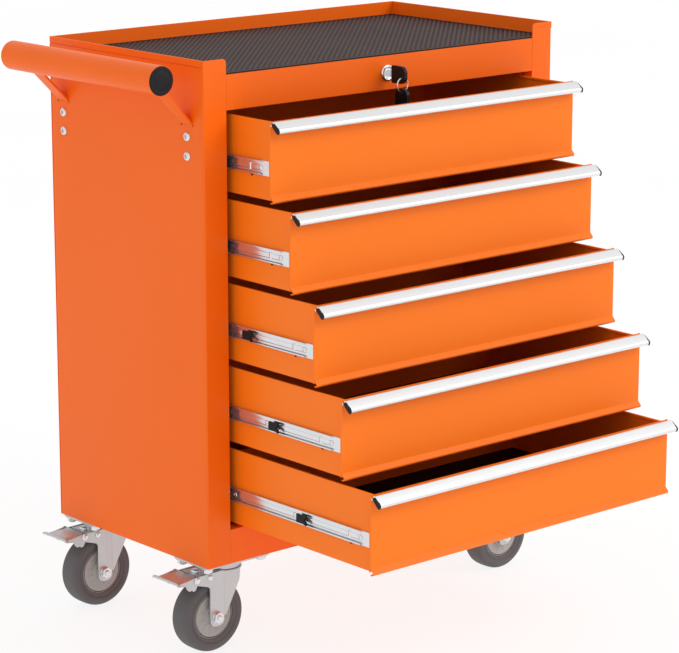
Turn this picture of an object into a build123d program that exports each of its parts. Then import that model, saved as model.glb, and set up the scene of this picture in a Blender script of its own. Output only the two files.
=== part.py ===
from build123d import *
import os

# Rolling tool cart: a folded sheet-metal cabinet with five drawers on
# three-part ball runners, a recessed top, a side push handle, a barrel lock
# with a rear locking bar, two braked swivel casters and two rigid casters.
#
# Millimetres. +Z is up and the drawers open towards -Y. The origin is the
# middle of the whole cart's box, on the floor. The drawers stand open by
# different amounts, as they are when the cart is shown off.

# ---------------------------------------------------------------- cabinet
CABINET_WIDTH = 615
CABINET_DEPTH = 327
CABINET_HEIGHT = 661
CASTER_HEIGHT = 126
SHEET = 1.0
POST_WIDTH = 36.8
POST_FLANGE = 16
POST_TOP_RADIUS = 5
REAR_FLANGE = 14
FLANGE_RELIEF = 2
RAIL_FLANGE = 18
PAN_SHEET = 1.5
HEM_HEIGHT = 8.6
HEM_GAP = 0.4
TRAY_WALL_GAP = 0.5
FIT_GAP = 0.3
RAIL_BOTTOM = 595.7
RAIL_TOP = 640.9
PLINTH_TOP = 46.2
MAT_THICKNESS = 2.0
UPRIGHT_DEPTH = 30
UPRIGHT_INSETS = (20, 44)
UPRIGHT_FOOT = 48
UPRIGHT_CLEARANCE = 4

# ----------------------------------------------------------------- handle
TUBE_RADIUS = 19
TUBE_WALL = 1.5
TUBE_OUTBOARD = 58
TUBE_HEIGHT = 641
TUBE_FRONT = 8
TUBE_BACK = 330
CAP_THICKNESS = 1.5
CAP_PLUG = 14
CAP_RIM = 0.5
STRAP_THICKNESS = 3
STRAP_WIDTH = 22
STRAP_FRONTS = (22, 287)
STRAP_EXIT = 580
STRAP_OVERLAP = 7
SLOT_GAP = 0.7
TAB_BOTTOM = 530
HANDLE_SCREWS = (562.8, 537.8)
SCREW_RADIUS = 3
SCREW_HOLE = 3.2
SCREW_HEAD = 6.2
SCREW_DOME = 2.2
SCREW_NUT = 5.2

# ---------------------------------------------------------------- drawers
DRAWERS = (1, 2, 3, 4, 5)
LOWEST_DRAWER = 50.7
DRAWER_PITCH = 109.3
DRAWER_LEFT = 39.8
FRONT_HEIGHT = 103
BOX_INSET = 47
BOX_FLOOR = 2
BOX_SIDE_TOP = 101.5
BOX_BACK = 288
BOX_RIM = 3
BOX_REAR_DROP = 8
BOX_FRONT_DROP = 4
CATCH_HEIGHT = 60
CATCH_REACH = 11
CATCH_SHEET = 1.5
BEAD_REACH = 5
FLARE_HEIGHT = 9
FRONT_RETURN = 3
PULL_TOP = 103.8
PULL_REACH = 18
PULL_SKIRT = 14
PULL_OVERHANG = 0.3
MID_OPEN = (0, 0, 47, 98, 152)
INNER_OPEN = (82, 120, 118, 118, 118)

# ---------------------------------------------------------------- runners
RUNNER_RISE = 42
OUTER_HALF = 15
MID_HALF = 12
INNER_HALF = 9.5
RUNNER_GAUGE = 1.2
RUNNER_STUDS = (26, 150, 270)
STUD_RADIUS = 3.4
CATCH_HALF = 5
CATCH_PRONG = 6.5

# ------------------------------------------------------------------- lock
LOCK_HEIGHT = 618.2
LOCK_FACE_RADIUS = 11
BARREL_RADIUS = 9
PLUG_RADIUS = 6.5
CRANK_RADIUS = 10
CRANK_PIN = 2
SHAFT_RADIUS = 3
BAR_BACK = 17
BAR_GAUGE = 2
BAR_HALF = 8
HOOK_CLEARANCE = 13
HOOK_LENGTH = 10
GUIDE_HEIGHTS = (90, 490)
GUIDE_DEPTH = 14
GUIDE_INNER = 8.6
GUIDE_OUTER = 10.1
KEY_GRIP_LENGTH = 26
KEY_GRIP_WIDTH = 23
KEY_GRIP_THICKNESS = 4.8
KEY_GRIP_CORNER = 8
KEY_HOLE = 2.4
RING_RADIUS = 9.3
RING_WIRE = 0.9

# ---------------------------------------------------------------- casters
WHEEL_RADIUS = 49.5
WHEEL_WIDTH = 32
TREAD_SHOULDER = 6
RIM_RADIUS = 36
RIM_HALF = 15
DISC_RADIUS = 29
GROOVE_RADIUS = 30
DISC_HALF = 13.5
BOSS_RADIUS = 11
BOSS_HALF = 17.8
CASTER_SIDE = 40
SWIVEL_INSET = 54
RIGID_INSET = 57
TRAIL = 25.5
AXLE_RADIUS = 4
AXLE_END = 27
BOLT_RADIUS = 4
BOLT_HOLE = 4.2
BOLT_HEAD = 8
NUT_ACROSS = 13
BOLT_SPACING_X = 90
BOLT_SPACING_Y = 52
PLATE_LENGTH = 106
PLATE_WIDTH = 74
PLATE_CORNER = 6
RACE_RADIUS = 24
HEAD_RADIUS = 26
HEAD_GAP = 0.4
LEG_FOOT = 12
LEG_INNER = 18.5
LEG_GAUGE = 2.5
PLATE_GAUGE = 3
PEDAL_REACH = 60
PEDAL_DROP = 18.5
PEDAL_TIP = 35.5
PEDAL_HALF = 23.2
PEDAL_TIP_HALF = 26.5
CHEEK_INNER = 21.4
ROOT_HALF = 18
PIVOT_RADIUS = 2.5
PIVOT_HEAD = 4.3
PIVOT_END = 26
BARREL_OUTER = 4.2

# ------------------------------------------------------- derived positions
DRAWER_OPEN = [mid + inner for mid, inner in zip(MID_OPEN, INNER_OPEN)]
LEFT = -(CABINET_WIDTH - TUBE_OUTBOARD - TUBE_RADIUS) / 2
RIGHT = LEFT + CABINET_WIDTH
MIDDLE = (LEFT + RIGHT) / 2
FRONT = (DRAWER_OPEN[-1] + PULL_REACH - TUBE_BACK) / 2
BACK = FRONT + CABINET_DEPTH
BASE = CASTER_HEIGHT
TOP = BASE + CABINET_HEIGHT
AXLE_HEIGHT = WHEEL_RADIUS
OPENING_LEFT = LEFT + POST_WIDTH + FIT_GAP
OPENING_RIGHT = RIGHT - POST_WIDTH - FIT_GAP

os.makedirs("parts", exist_ok=True)


def block(x0, x1, y0, y1, z0, z1, mode=Mode.ADD):
    """A rectangular block between two corners, added to or cut from the open part."""
    with Locations(((x0 + x1) / 2, (y0 + y1) / 2, (z0 + z1) / 2)):
        Box(abs(x1 - x0), abs(y1 - y0), abs(z1 - z0), mode=mode)


def rod(radius, x, z, y0, y1, mode=Mode.ADD):
    """A round bar along Y from y0 to y1."""
    with BuildSketch(Plane.XZ.offset(-y0)) as outline:
        with Locations((x, z)):
            Circle(radius)
    extrude(outline.sketch, amount=-(y1 - y0), mode=mode)


def post(radius, x, y, z0, z1, mode=Mode.ADD):
    """A round bar along Z from z0 to z1."""
    with BuildSketch(Plane.XY.offset(z0)) as outline:
        with Locations((x, y)):
            Circle(radius)
    extrude(outline.sketch, amount=z1 - z0, mode=mode)


def stud(radius, y, z, x0, x1, mode=Mode.ADD):
    """A round bar along X from x0 to x1."""
    with BuildSketch(Plane.YZ.offset(x0)) as outline:
        with Locations((y, z)):
            Circle(radius)
    extrude(outline.sketch, amount=x1 - x0, mode=mode)


def hexagon_post(across_flats, x, y, z0, z1):
    """A hexagonal nut or bolt head standing along Z."""
    with BuildSketch(Plane.XY.offset(z0)) as outline:
        with Locations((x, y)):
            RegularPolygon(across_flats / 2, 6, major_radius=False)
    extrude(outline.sketch, amount=z1 - z0)


def hexagon_rod(across_flats, x, z, y0, y1):
    """A hexagonal nut or bolt head lying along Y."""
    with BuildSketch(Plane.XZ.offset(-y0)) as outline:
        with Locations((x, z)):
            RegularPolygon(across_flats / 2, 6, major_radius=False)
    extrude(outline.sketch, amount=-(y1 - y0))


def side_profile(points, y0, y1, mode=Mode.ADD):
    """An outline of (x, z) points made solid from y0 to y1."""
    with BuildSketch(Plane.XZ.offset(-y0)) as outline:
        with BuildLine():
            Polyline(*points, close=True)
        make_face()
    extrude(outline.sketch, amount=-(y1 - y0), mode=mode)


def save(part, name):
    """Label a finished sub-part and write its STEP file."""
    part.label = name
    export_step(part, f"parts/{name}.step")


# ---------------------------------------------------------- cabinet panels
def add_side_panel(outer, inward):
    """The side sheet, the front post folded from it and its rear flange."""
    def x(distance):
        return outer + inward * distance

    sheet_top = TOP - HEM_HEIGHT - HEM_GAP
    block(x(0), x(SHEET), FRONT + SHEET, BACK - SHEET, BASE, sheet_top)
    block(x(0), x(POST_WIDTH), FRONT, FRONT + SHEET, BASE, TOP)
    flange_start = POST_WIDTH - SHEET
    foot = BASE + FLANGE_RELIEF
    head = BASE + RAIL_TOP - FLANGE_RELIEF
    block(x(flange_start), x(POST_WIDTH), FRONT + SHEET, FRONT + POST_FLANGE, foot, head)
    block(x(SHEET), x(REAR_FLANGE), BACK - 2 * SHEET, BACK - SHEET, foot, head)
    corner = faces().filter_by(Axis.Y).sort_by(Axis.Y)[0].edges().filter_by(Axis.Z)
    inner_edge = corner.sort_by(Axis.X)[-1 if inward > 0 else 0]
    tip = inner_edge @ 1 if (inner_edge @ 1).Z > (inner_edge @ 0).Z else inner_edge @ 0
    fillet(edges().filter_by(Axis.Y).sort_by_distance(tip)[0], radius=POST_TOP_RADIUS)


with BuildPart() as left_side_panel:
    add_side_panel(LEFT, 1)
    for strap_front in STRAP_FRONTS:
        slot_front = FRONT + strap_front - SLOT_GAP
        slot_back = FRONT + strap_front + STRAP_WIDTH + SLOT_GAP
        slot_bottom = BASE + STRAP_EXIT - STRAP_THICKNESS - SLOT_GAP
        slot_top = BASE + STRAP_EXIT + STRAP_THICKNESS
        block(LEFT - 1, LEFT + 2, slot_front, slot_back, slot_bottom, slot_top, Mode.SUBTRACT)
        screw_y = FRONT + strap_front + STRAP_WIDTH / 2
        for screw in HANDLE_SCREWS:
            stud(SCREW_HOLE, screw_y, BASE + screw, LEFT - 1, LEFT + 2, Mode.SUBTRACT)
save(left_side_panel.part, "left_side_panel")

with BuildPart() as right_side_panel:
    add_side_panel(RIGHT, -1)
save(right_side_panel.part, "right_side_panel")

with BuildPart() as back_panel:
    block(LEFT, RIGHT, BACK - SHEET, BACK, BASE, TOP - HEM_HEIGHT - HEM_GAP)
    guide_back = BACK - BAR_BACK - 3.5
    for guide in GUIDE_HEIGHTS:
        z0 = BASE + guide
        z1 = z0 + GUIDE_DEPTH
        for side in (-1, 1):
            block(MIDDLE + side * GUIDE_INNER, MIDDLE + side * GUIDE_OUTER, guide_back, BACK - SHEET, z0, z1)
        block(MIDDLE - GUIDE_OUTER, MIDDLE + GUIDE_OUTER, guide_back - 1.5, guide_back, z0, z1)
save(back_panel.part, "back_panel")

with BuildPart() as bottom_pan:
    block(LEFT + SHEET, RIGHT - SHEET, FRONT + SHEET, BACK - SHEET, BASE, BASE + PAN_SHEET)
    pan_top = BASE + PLINTH_TOP
    block(OPENING_LEFT, OPENING_RIGHT, FRONT, FRONT + SHEET, BASE, pan_top)
    block(OPENING_LEFT, OPENING_RIGHT, FRONT + SHEET, FRONT + RAIL_FLANGE, pan_top - SHEET, pan_top)
    for caster_x in (LEFT + SWIVEL_INSET, RIGHT - RIGID_INSET):
        for caster_y in (FRONT + CASTER_SIDE, BACK - CASTER_SIDE):
            with Locations((caster_x, caster_y, BASE + PAN_SHEET / 2)):
                with GridLocations(BOLT_SPACING_X, BOLT_SPACING_Y, 2, 2):
                    Cylinder(BOLT_HOLE, 2 * PAN_SHEET, mode=Mode.SUBTRACT)
save(bottom_pan.part, "bottom_pan")

with BuildPart() as lock_rail:
    rail_foot = BASE + RAIL_BOTTOM
    block(OPENING_LEFT, OPENING_RIGHT, FRONT, FRONT + SHEET, rail_foot, BASE + RAIL_TOP)
    block(OPENING_LEFT, OPENING_RIGHT, FRONT + SHEET, FRONT + RAIL_FLANGE, rail_foot, rail_foot + SHEET)
    rod(BARREL_RADIUS, MIDDLE, BASE + LOCK_HEIGHT, FRONT - 1, FRONT + 2, Mode.SUBTRACT)
save(lock_rail.part, "lock_rail")

# The recessed top: a floor, three walls inside the panels, and a hem that
# folds over the panels' upper edges and down their outer faces.
TRAY_FLOOR = BASE + RAIL_TOP
with BuildPart() as top_tray:
    wall = SHEET + TRAY_WALL_GAP
    tray_front = FRONT + SHEET + FIT_GAP
    block(LEFT + wall, RIGHT - wall, tray_front, BACK - wall, TRAY_FLOOR - SHEET, TRAY_FLOOR)
    for outer, inward in ((LEFT, 1), (RIGHT, -1)):
        block(outer + inward * wall, outer + inward * (wall + SHEET), tray_front, BACK - wall,
              TRAY_FLOOR - SHEET, TOP)
        block(outer, outer + inward * (wall + SHEET), tray_front, BACK, TOP - SHEET, TOP)
        block(outer, outer + inward * SHEET, tray_front, BACK, TOP - HEM_HEIGHT, TOP)
    block(LEFT + wall, RIGHT - wall, BACK - wall - SHEET, BACK - wall, TRAY_FLOOR - SHEET, TOP)
    block(LEFT, RIGHT, BACK - wall - SHEET, BACK, TOP - SHEET, TOP)
    block(LEFT, RIGHT, BACK - SHEET, BACK, TOP - HEM_HEIGHT, TOP)
save(top_tray.part, "top_tray")

with BuildPart() as top_mat:
    margin = wall + SHEET + FIT_GAP
    block(LEFT + margin, RIGHT - margin, tray_front, BACK - margin, TRAY_FLOOR, TRAY_FLOOR + MAT_THICKNESS)
save(top_mat.part, "top_mat")

# Four channel-section uprights carry the runners inside the side panels.
with BuildPart() as slide_uprights:
    for outer, inward in ((LEFT, 1), (RIGHT, -1)):
        for near in (FRONT + UPRIGHT_INSETS[0], BACK - UPRIGHT_INSETS[1]):
            far = near + UPRIGHT_DEPTH
            foot = BASE + UPRIGHT_FOOT
            head = BASE + RAIL_BOTTOM - UPRIGHT_CLEARANCE
            web = outer + inward * (POST_WIDTH - RUNNER_GAUGE)
            block(web, outer + inward * POST_WIDTH, near, far, foot, head)
            for edge in (near, far - RUNNER_GAUGE):
                block(outer + inward * SHEET, web, edge, edge + RUNNER_GAUGE, foot, head)
save(slide_uprights.part, "slide_uprights")


# ----------------------------------------------------------------- handle
TUBE_X = LEFT - TUBE_OUTBOARD
TUBE_Z = BASE + TUBE_HEIGHT
tube_front = FRONT + TUBE_FRONT
tube_back = FRONT + TUBE_BACK
TUBE_BORE = TUBE_RADIUS - TUBE_WALL
with BuildPart() as handle_tube:
    rod(TUBE_RADIUS, TUBE_X, TUBE_Z, tube_front + CAP_THICKNESS, tube_back - CAP_THICKNESS)
    rod(TUBE_BORE, TUBE_X, TUBE_Z, tube_front, tube_back, Mode.SUBTRACT)
save(handle_tube.part, "handle_tube")

with BuildPart() as handle_end_caps:
    rod(TUBE_RADIUS - CAP_RIM, TUBE_X, TUBE_Z, tube_front, tube_front + CAP_THICKNESS)
    rod(TUBE_BORE, TUBE_X, TUBE_Z, tube_front + CAP_THICKNESS, tube_front + CAP_PLUG)
    rod(TUBE_RADIUS - CAP_RIM, TUBE_X, TUBE_Z, tube_back - CAP_THICKNESS, tube_back)
    rod(TUBE_BORE, TUBE_X, TUBE_Z, tube_back - CAP_PLUG, tube_back - CAP_THICKNESS)
save(handle_end_caps.part, "handle_end_caps")

# Each strap is screwed inside the panel, comes out through its slot and
# rises at 45 degrees to meet the underside of the tube.
with BuildPart() as handle_brackets:
    slant = STRAP_THICKNESS * 2 ** 0.5 / 2
    inner_face = LEFT + SHEET + STRAP_THICKNESS
    outer_face = LEFT + SHEET
    exit_z = BASE + STRAP_EXIT
    reach = TUBE_OUTBOARD - STRAP_OVERLAP
    strap_outline = [
        (outer_face, BASE + TAB_BOTTOM),
        (inner_face, BASE + TAB_BOTTOM),
        (inner_face, exit_z + slant - SHEET - STRAP_THICKNESS),
        (LEFT - reach, exit_z + slant + reach),
        (LEFT - reach - slant, exit_z + reach),
        (outer_face, exit_z - slant - SHEET),
    ]
    for strap_front in STRAP_FRONTS:
        side_profile(strap_outline, FRONT + strap_front, FRONT + strap_front + STRAP_WIDTH)
        screw_y = FRONT + strap_front + STRAP_WIDTH / 2
        for screw in HANDLE_SCREWS:
            stud(SCREW_RADIUS, screw_y, BASE + screw, LEFT, LEFT + 6, Mode.SUBTRACT)
    rod(TUBE_RADIUS, TUBE_X, TUBE_Z, FRONT, BACK, Mode.SUBTRACT)
save(handle_brackets.part, "handle_brackets")

with BuildPart() as handle_screws:
    for strap_front in STRAP_FRONTS:
        for screw in HANDLE_SCREWS:
            screw_y = FRONT + strap_front + STRAP_WIDTH / 2
            stud(SCREW_HEAD, screw_y, BASE + screw, LEFT - 3, LEFT)
            stud(SCREW_RADIUS, screw_y, BASE + screw, LEFT, LEFT + 10)
            stud(SCREW_NUT, screw_y, BASE + screw, LEFT + SHEET + STRAP_THICKNESS, LEFT + 8)
    heads = edges().filter_by(GeomType.CIRCLE).group_by(Axis.X)[0]
    fillet(heads, radius=SCREW_DOME)
save(handle_screws.part, "handle_screws")


# ---------------------------------------------------------------- runners
def runner_height(drawer):
    """Height of a drawer's runner centre line."""
    return drawer_bottom(drawer) + RUNNER_RISE


def drawer_bottom(drawer):
    """Height of a drawer front's lower edge; drawer 1 is the top one."""
    return BASE + LOWEST_DRAWER + (len(DRAWERS) - drawer) * DRAWER_PITCH


def both_sides(near, far):
    """Matching x ranges measured inward from the left and the right panel."""
    return ((LEFT + near, LEFT + far), (RIGHT - far, RIGHT - near))


def add_channel(web_near, web_far, lip_near, lip_far, half, y0, y1, z):
    """One C-section runner on each side of the cabinet."""
    for x0, x1 in both_sides(web_near, web_far):
        block(x0, x1, y0, y1, z - half, z + half)
    for x0, x1 in both_sides(lip_near, lip_far):
        for lip in (z - half, z + half - RUNNER_GAUGE):
            block(x0, x1, y0, y1, lip, lip + RUNNER_GAUGE)


with BuildPart() as outer_runners:
    for drawer in DRAWERS:
        add_channel(37, 38.2, 38.2, 44, OUTER_HALF, FRONT + 14, FRONT + 292, runner_height(drawer))
save(outer_runners.part, "outer_runners")


# ----------------------------------------------------------------- drawers
def add_mid_runners(face, z):
    """The sliding middle members with their release catches inside."""
    add_channel(40.2, 41.4, 39, 43, MID_HALF, face + 14, face + 284, z)
    for x0, x1 in both_sides(41.4, 44.2):
        block(x0, x1, face + 6, face + 22, z - CATCH_HALF, z + CATCH_HALF)
        block(x0, x1, face + 2, face + 6, z - CATCH_PRONG, z - 2)
        block(x0, x1, face + 2, face + 6, z + 2, z + CATCH_PRONG)


def add_inner_runners(face, z):
    """The members screwed to the drawer's sides."""
    add_channel(45.6, 46.9, 43, 45.6, INNER_HALF, face + 26, face + 288, z)
    for x0, x1 in both_sides(45.6, 46.9):
        block(x0, x1, face + 8, face + 26, z - INNER_HALF, z + INNER_HALF)
    for start in RUNNER_STUDS:
        for x0, x1 in both_sides(44.6, 45.6):
            stud(STUD_RADIUS, face + start, z, x0, x1)


def add_drawer_box(face, bottom):
    """The folded box: floor, sides with rolled top edges, back and inner front."""
    floor = bottom + BOX_FLOOR
    rim = bottom + BOX_SIDE_TOP
    rear = face + BOX_BACK
    left = LEFT + BOX_INSET
    right = RIGHT - BOX_INSET
    block(left, right, face + SHEET, rear, floor, floor + SHEET)
    for x0, x1 in both_sides(BOX_INSET, BOX_INSET + SHEET):
        block(x0, x1, face + SHEET, rear, floor, rim)
    for x0, x1 in both_sides(BOX_INSET, BOX_INSET + BOX_RIM):
        block(x0, x1, face + SHEET, rear, rim - BOX_RIM, rim)
    block(left, right, rear - SHEET, rear, floor, rim - BOX_REAR_DROP)
    block(left, right, face + SHEET, face + 2 * SHEET, floor, rim - BOX_FRONT_DROP)
    # catch for the locking bar behind the box
    catch = bottom + CATCH_HEIGHT
    catch_end = rear + CATCH_REACH
    block(MIDDLE - 7, MIDDLE + 7, rear, catch_end, catch, catch + CATCH_SHEET)
    block(MIDDLE - 7, MIDDLE + 7, catch_end - CATCH_SHEET, catch_end, catch, catch + HOOK_LENGTH)


def add_drawer_front(face, bottom):
    """The front sheet with narrow side returns and a rolled bead at its foot."""
    left = LEFT + DRAWER_LEFT
    right = RIGHT - DRAWER_LEFT
    flare_start = bottom + FLARE_HEIGHT
    block(left, right, face, face + SHEET, flare_start, bottom + FRONT_HEIGHT)
    for x0, x1 in both_sides(DRAWER_LEFT, DRAWER_LEFT + SHEET):
        block(x0, x1, face + SHEET, face + FRONT_RETURN, bottom + 4, bottom + FRONT_HEIGHT)
    with BuildSketch(Plane.YZ.offset(left)) as outline:
        with BuildLine():
            nose = face - BEAD_REACH
            flare = Line((face, flare_start), (nose, bottom + 3.5))
            bead = ThreePointArc(flare @ 1, (nose + 0.8, bottom + 0.9), (nose + 3.4, bottom))
            back = face + SHEET
            curl = Polyline(bead @ 1, (back, bottom), (back, bottom + 1.2), (nose + 3.5, bottom + 1.2))
            throat = ThreePointArc(curl @ 1, (nose + 1.9, bottom + 1.8), (nose + 1.5, bottom + 3.5))
            Polyline(throat @ 1, (back, flare_start), (face, flare_start))
        make_face()
    extrude(outline.sketch, amount=right - left)


def add_pull(face, bottom):
    """A full-width extruded grip: a flat back, a 45 degree face and a rolled lip."""
    top = bottom + PULL_TOP
    nose = face - PULL_REACH
    skirt = top - PULL_SKIRT
    with BuildSketch(Plane.YZ.offset(LEFT + DRAWER_LEFT - PULL_OVERHANG)) as outline:
        with BuildLine():
            crown = Polyline((face, skirt), (face, top), (face - 3, top))
            brow = ThreePointArc(crown @ 1, (face - 4.6, top - 0.4), (face - 6, top - 1.4))
            slope = Line(brow @ 1, (nose + 1.2, top - 11.8))
            chin = ThreePointArc(slope @ 1, (nose + 0.1, top - 14), (nose + 2.2, top - 15.2))
            lip = ThreePointArc(chin @ 1, (nose + 3.7, top - 14.7), (nose + 3.5, top - 13))
            inside = Line(lip @ 1, (face - 4.4, top - 2.8))
            Polyline(inside @ 1, (face - 1.8, top - 2.8), (face - 1.8, skirt), (face, skirt))
        make_face()
    extrude(outline.sketch, amount=CABINET_WIDTH - 2 * DRAWER_LEFT + 2 * PULL_OVERHANG)


for drawer, mid_open, opening in zip(DRAWERS, MID_OPEN, DRAWER_OPEN):
    drawer_face = FRONT - opening
    drawer_foot = drawer_bottom(drawer)

    with BuildPart() as mid_runners:
        add_mid_runners(FRONT - mid_open, runner_height(drawer))
    save(mid_runners.part, f"drawer_{drawer}_mid_runners")

    with BuildPart() as inner_runners:
        add_inner_runners(drawer_face, runner_height(drawer))
    save(inner_runners.part, f"drawer_{drawer}_inner_runners")

    with BuildPart() as drawer_box:
        add_drawer_box(drawer_face, drawer_foot)
    save(drawer_box.part, f"drawer_{drawer}_box")

    with BuildPart() as drawer_front:
        add_drawer_front(drawer_face, drawer_foot)
    save(drawer_front.part, f"drawer_{drawer}_front")

    with BuildPart() as drawer_pull:
        add_pull(drawer_face, drawer_foot)
    save(drawer_pull.part, f"drawer_{drawer}_pull")


# ------------------------------------------------------------------- lock
LOCK_Z = BASE + LOCK_HEIGHT
SHAFT_END = BACK - BAR_BACK - 5

with BuildPart() as lock_housing:
    rod(LOCK_FACE_RADIUS, MIDDLE, LOCK_Z, FRONT - 3, FRONT)
    rod(BARREL_RADIUS, MIDDLE, LOCK_Z, FRONT, FRONT + 24)
    hexagon_rod(24, MIDDLE, LOCK_Z, FRONT + SHEET, FRONT + 5)
    chamfer(edges().filter_by(GeomType.CIRCLE).group_by(Axis.Y)[0], length=1)
    rod(PLUG_RADIUS, MIDDLE, LOCK_Z, FRONT - 4, FRONT + 25, Mode.SUBTRACT)
save(lock_housing.part, "lock_housing")

# The plug turns with the key. A shaft runs from it to the back, where a
# crank pin works in the locking bar's slot.
with BuildPart() as lock_plug:
    rod(PLUG_RADIUS - 0.05, MIDDLE, LOCK_Z, FRONT - 2.6, FRONT + 24)
    rod(SHAFT_RADIUS, MIDDLE, LOCK_Z, FRONT + 24, SHAFT_END)
    block(MIDDLE - SHAFT_RADIUS, MIDDLE + CRANK_RADIUS + SHAFT_RADIUS, SHAFT_END - 3, SHAFT_END,
          LOCK_Z - SHAFT_RADIUS, LOCK_Z + SHAFT_RADIUS)
    rod(CRANK_PIN, MIDDLE + CRANK_RADIUS, LOCK_Z, SHAFT_END, BACK - BAR_BACK + 5)
    block(MIDDLE - 1.1, MIDDLE + 1.1, FRONT - 4, FRONT + 14, LOCK_Z - 4.2, LOCK_Z + 4.2, Mode.SUBTRACT)
save(lock_plug.part, "lock_plug")

KEY_HOLE_Y = FRONT - 31
KEY_HOLE_Z = LOCK_Z - 2.2
with BuildPart() as key:
    block(MIDDLE - 1, MIDDLE + 1, FRONT - 14, FRONT + 13, LOCK_Z - 4, LOCK_Z + 4)
    with BuildSketch(Plane.YZ.offset(MIDDLE - KEY_GRIP_THICKNESS / 2)):
        with Locations((FRONT - 25, LOCK_Z)):
            RectangleRounded(KEY_GRIP_LENGTH, KEY_GRIP_WIDTH, KEY_GRIP_CORNER)
        with Locations((KEY_HOLE_Y, KEY_HOLE_Z)):
            Circle(KEY_HOLE, mode=Mode.SUBTRACT)
    extrude(amount=KEY_GRIP_THICKNESS)
save(key.part, "key")

RING_TOP = KEY_HOLE_Z - KEY_HOLE + RING_WIRE + FIT_GAP
with BuildPart() as key_ring:
    with Locations(Plane((MIDDLE, KEY_HOLE_Y, RING_TOP - RING_RADIUS), z_dir=(0, 1, 0))):
        Torus(RING_RADIUS, RING_WIRE)
save(key_ring.part, "key_ring")

# The locking bar slides down behind the drawers; its hooks then stand in
# front of each box's catch.
with BuildPart() as lock_bar:
    bar_back = BACK - BAR_BACK
    bar_front = bar_back - BAR_GAUGE
    block(MIDDLE - BAR_HALF, MIDDLE + BAR_HALF, bar_front, bar_back, BASE + 70, LOCK_Z - 8)
    block(MIDDLE - 20, MIDDLE + 20, bar_front, bar_back, LOCK_Z - 12, LOCK_Z + 10)
    block(MIDDLE - 4, MIDDLE + CRANK_RADIUS + 4, bar_front - 1, bar_back + 1,
          LOCK_Z - 5.2, LOCK_Z + 2.8, Mode.SUBTRACT)
    finger = FRONT + BOX_BACK + 5
    for drawer in DRAWERS:
        hook_foot = drawer_bottom(drawer) + CATCH_HEIGHT + HOOK_CLEARANCE
        hook_top = hook_foot + HOOK_LENGTH
        block(MIDDLE - 5, MIDDLE + 5, finger, bar_front, hook_top - BAR_GAUGE, hook_top)
        block(MIDDLE - 5, MIDDLE + 5, finger, finger + BAR_GAUGE, hook_foot, hook_top)
save(lock_bar.part, "lock_bar")


# ---------------------------------------------------------------- casters
SWIVEL_X = LEFT + SWIVEL_INSET
SWIVEL_AXLE_X = SWIVEL_X - TRAIL
RIGID_X = RIGHT - RIGID_INSET
CASTER_YS = (FRONT + CASTER_SIDE, BACK - CASTER_SIDE)
PLATE_BOTTOM = BASE - PLATE_GAUGE
FORK_TOP = BASE - 14
PIVOT_X = SWIVEL_X - PEDAL_REACH
PIVOT_Z = BASE - PEDAL_DROP


def add_top_plate(x, y):
    """A caster's mounting plate with four bolt holes."""
    with BuildSketch(Plane.XY.offset(PLATE_BOTTOM)) as outline:
        with Locations((x, y)):
            RectangleRounded(PLATE_LENGTH, PLATE_WIDTH, PLATE_CORNER)
            with GridLocations(BOLT_SPACING_X, BOLT_SPACING_Y, 2, 2):
                Circle(BOLT_HOLE, mode=Mode.SUBTRACT)
    extrude(outline.sketch, amount=PLATE_GAUGE)


with BuildPart() as swivel_plates:
    for caster_y in CASTER_YS:
        add_top_plate(SWIVEL_X, caster_y)
        post(RACE_RADIUS, SWIVEL_X, caster_y, FORK_TOP + HEAD_GAP, PLATE_BOTTOM)
        post(5, SWIVEL_X, caster_y, FORK_TOP - 6.8, FORK_TOP + HEAD_GAP)
        post(9, SWIVEL_X, caster_y, FORK_TOP - 6.8, FORK_TOP - 3.4)
save(swivel_plates.part, "swivel_plates")


def add_axle_bolt(x, caster_y):
    """A wheel's axle bolt with a hexagon head and nut outside the legs."""
    leg_face = LEG_INNER + LEG_GAUGE
    rod(AXLE_RADIUS, x, AXLE_HEIGHT, caster_y - AXLE_END, caster_y + AXLE_END)
    hexagon_rod(NUT_ACROSS, x, AXLE_HEIGHT, caster_y - AXLE_END, caster_y - leg_face)
    hexagon_rod(NUT_ACROSS, x, AXLE_HEIGHT, caster_y + leg_face, caster_y + AXLE_END)


with BuildPart() as caster_bolts:
    for caster_x in (SWIVEL_X, RIGID_X):
        for caster_y in CASTER_YS:
            for bolt_x in (caster_x - BOLT_SPACING_X / 2, caster_x + BOLT_SPACING_X / 2):
                for bolt_y in (caster_y - BOLT_SPACING_Y / 2, caster_y + BOLT_SPACING_Y / 2):
                    post(BOLT_RADIUS, bolt_x, bolt_y, BASE - 11, BASE + PAN_SHEET)
                    post(BOLT_HEAD, bolt_x, bolt_y, BASE + PAN_SHEET, BASE + 5)
                    hexagon_post(NUT_ACROSS, bolt_x, bolt_y, BASE - 9, PLATE_BOTTOM)
    for caster_y in CASTER_YS:
        add_axle_bolt(RIGID_X, caster_y)
save(caster_bolts.part, "caster_bolts")


def add_leg_bores(x, caster_y):
    """The axle hole through both legs of a fork."""
    rod(AXLE_RADIUS, x, AXLE_HEIGHT, caster_y - 30, caster_y + 30, Mode.SUBTRACT)


def leg_ranges(caster_y):
    """Y ranges of a fork's two legs."""
    return ((caster_y - LEG_INNER - LEG_GAUGE, caster_y - LEG_INNER),
            (caster_y + LEG_INNER, caster_y + LEG_INNER + LEG_GAUGE))


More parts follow.
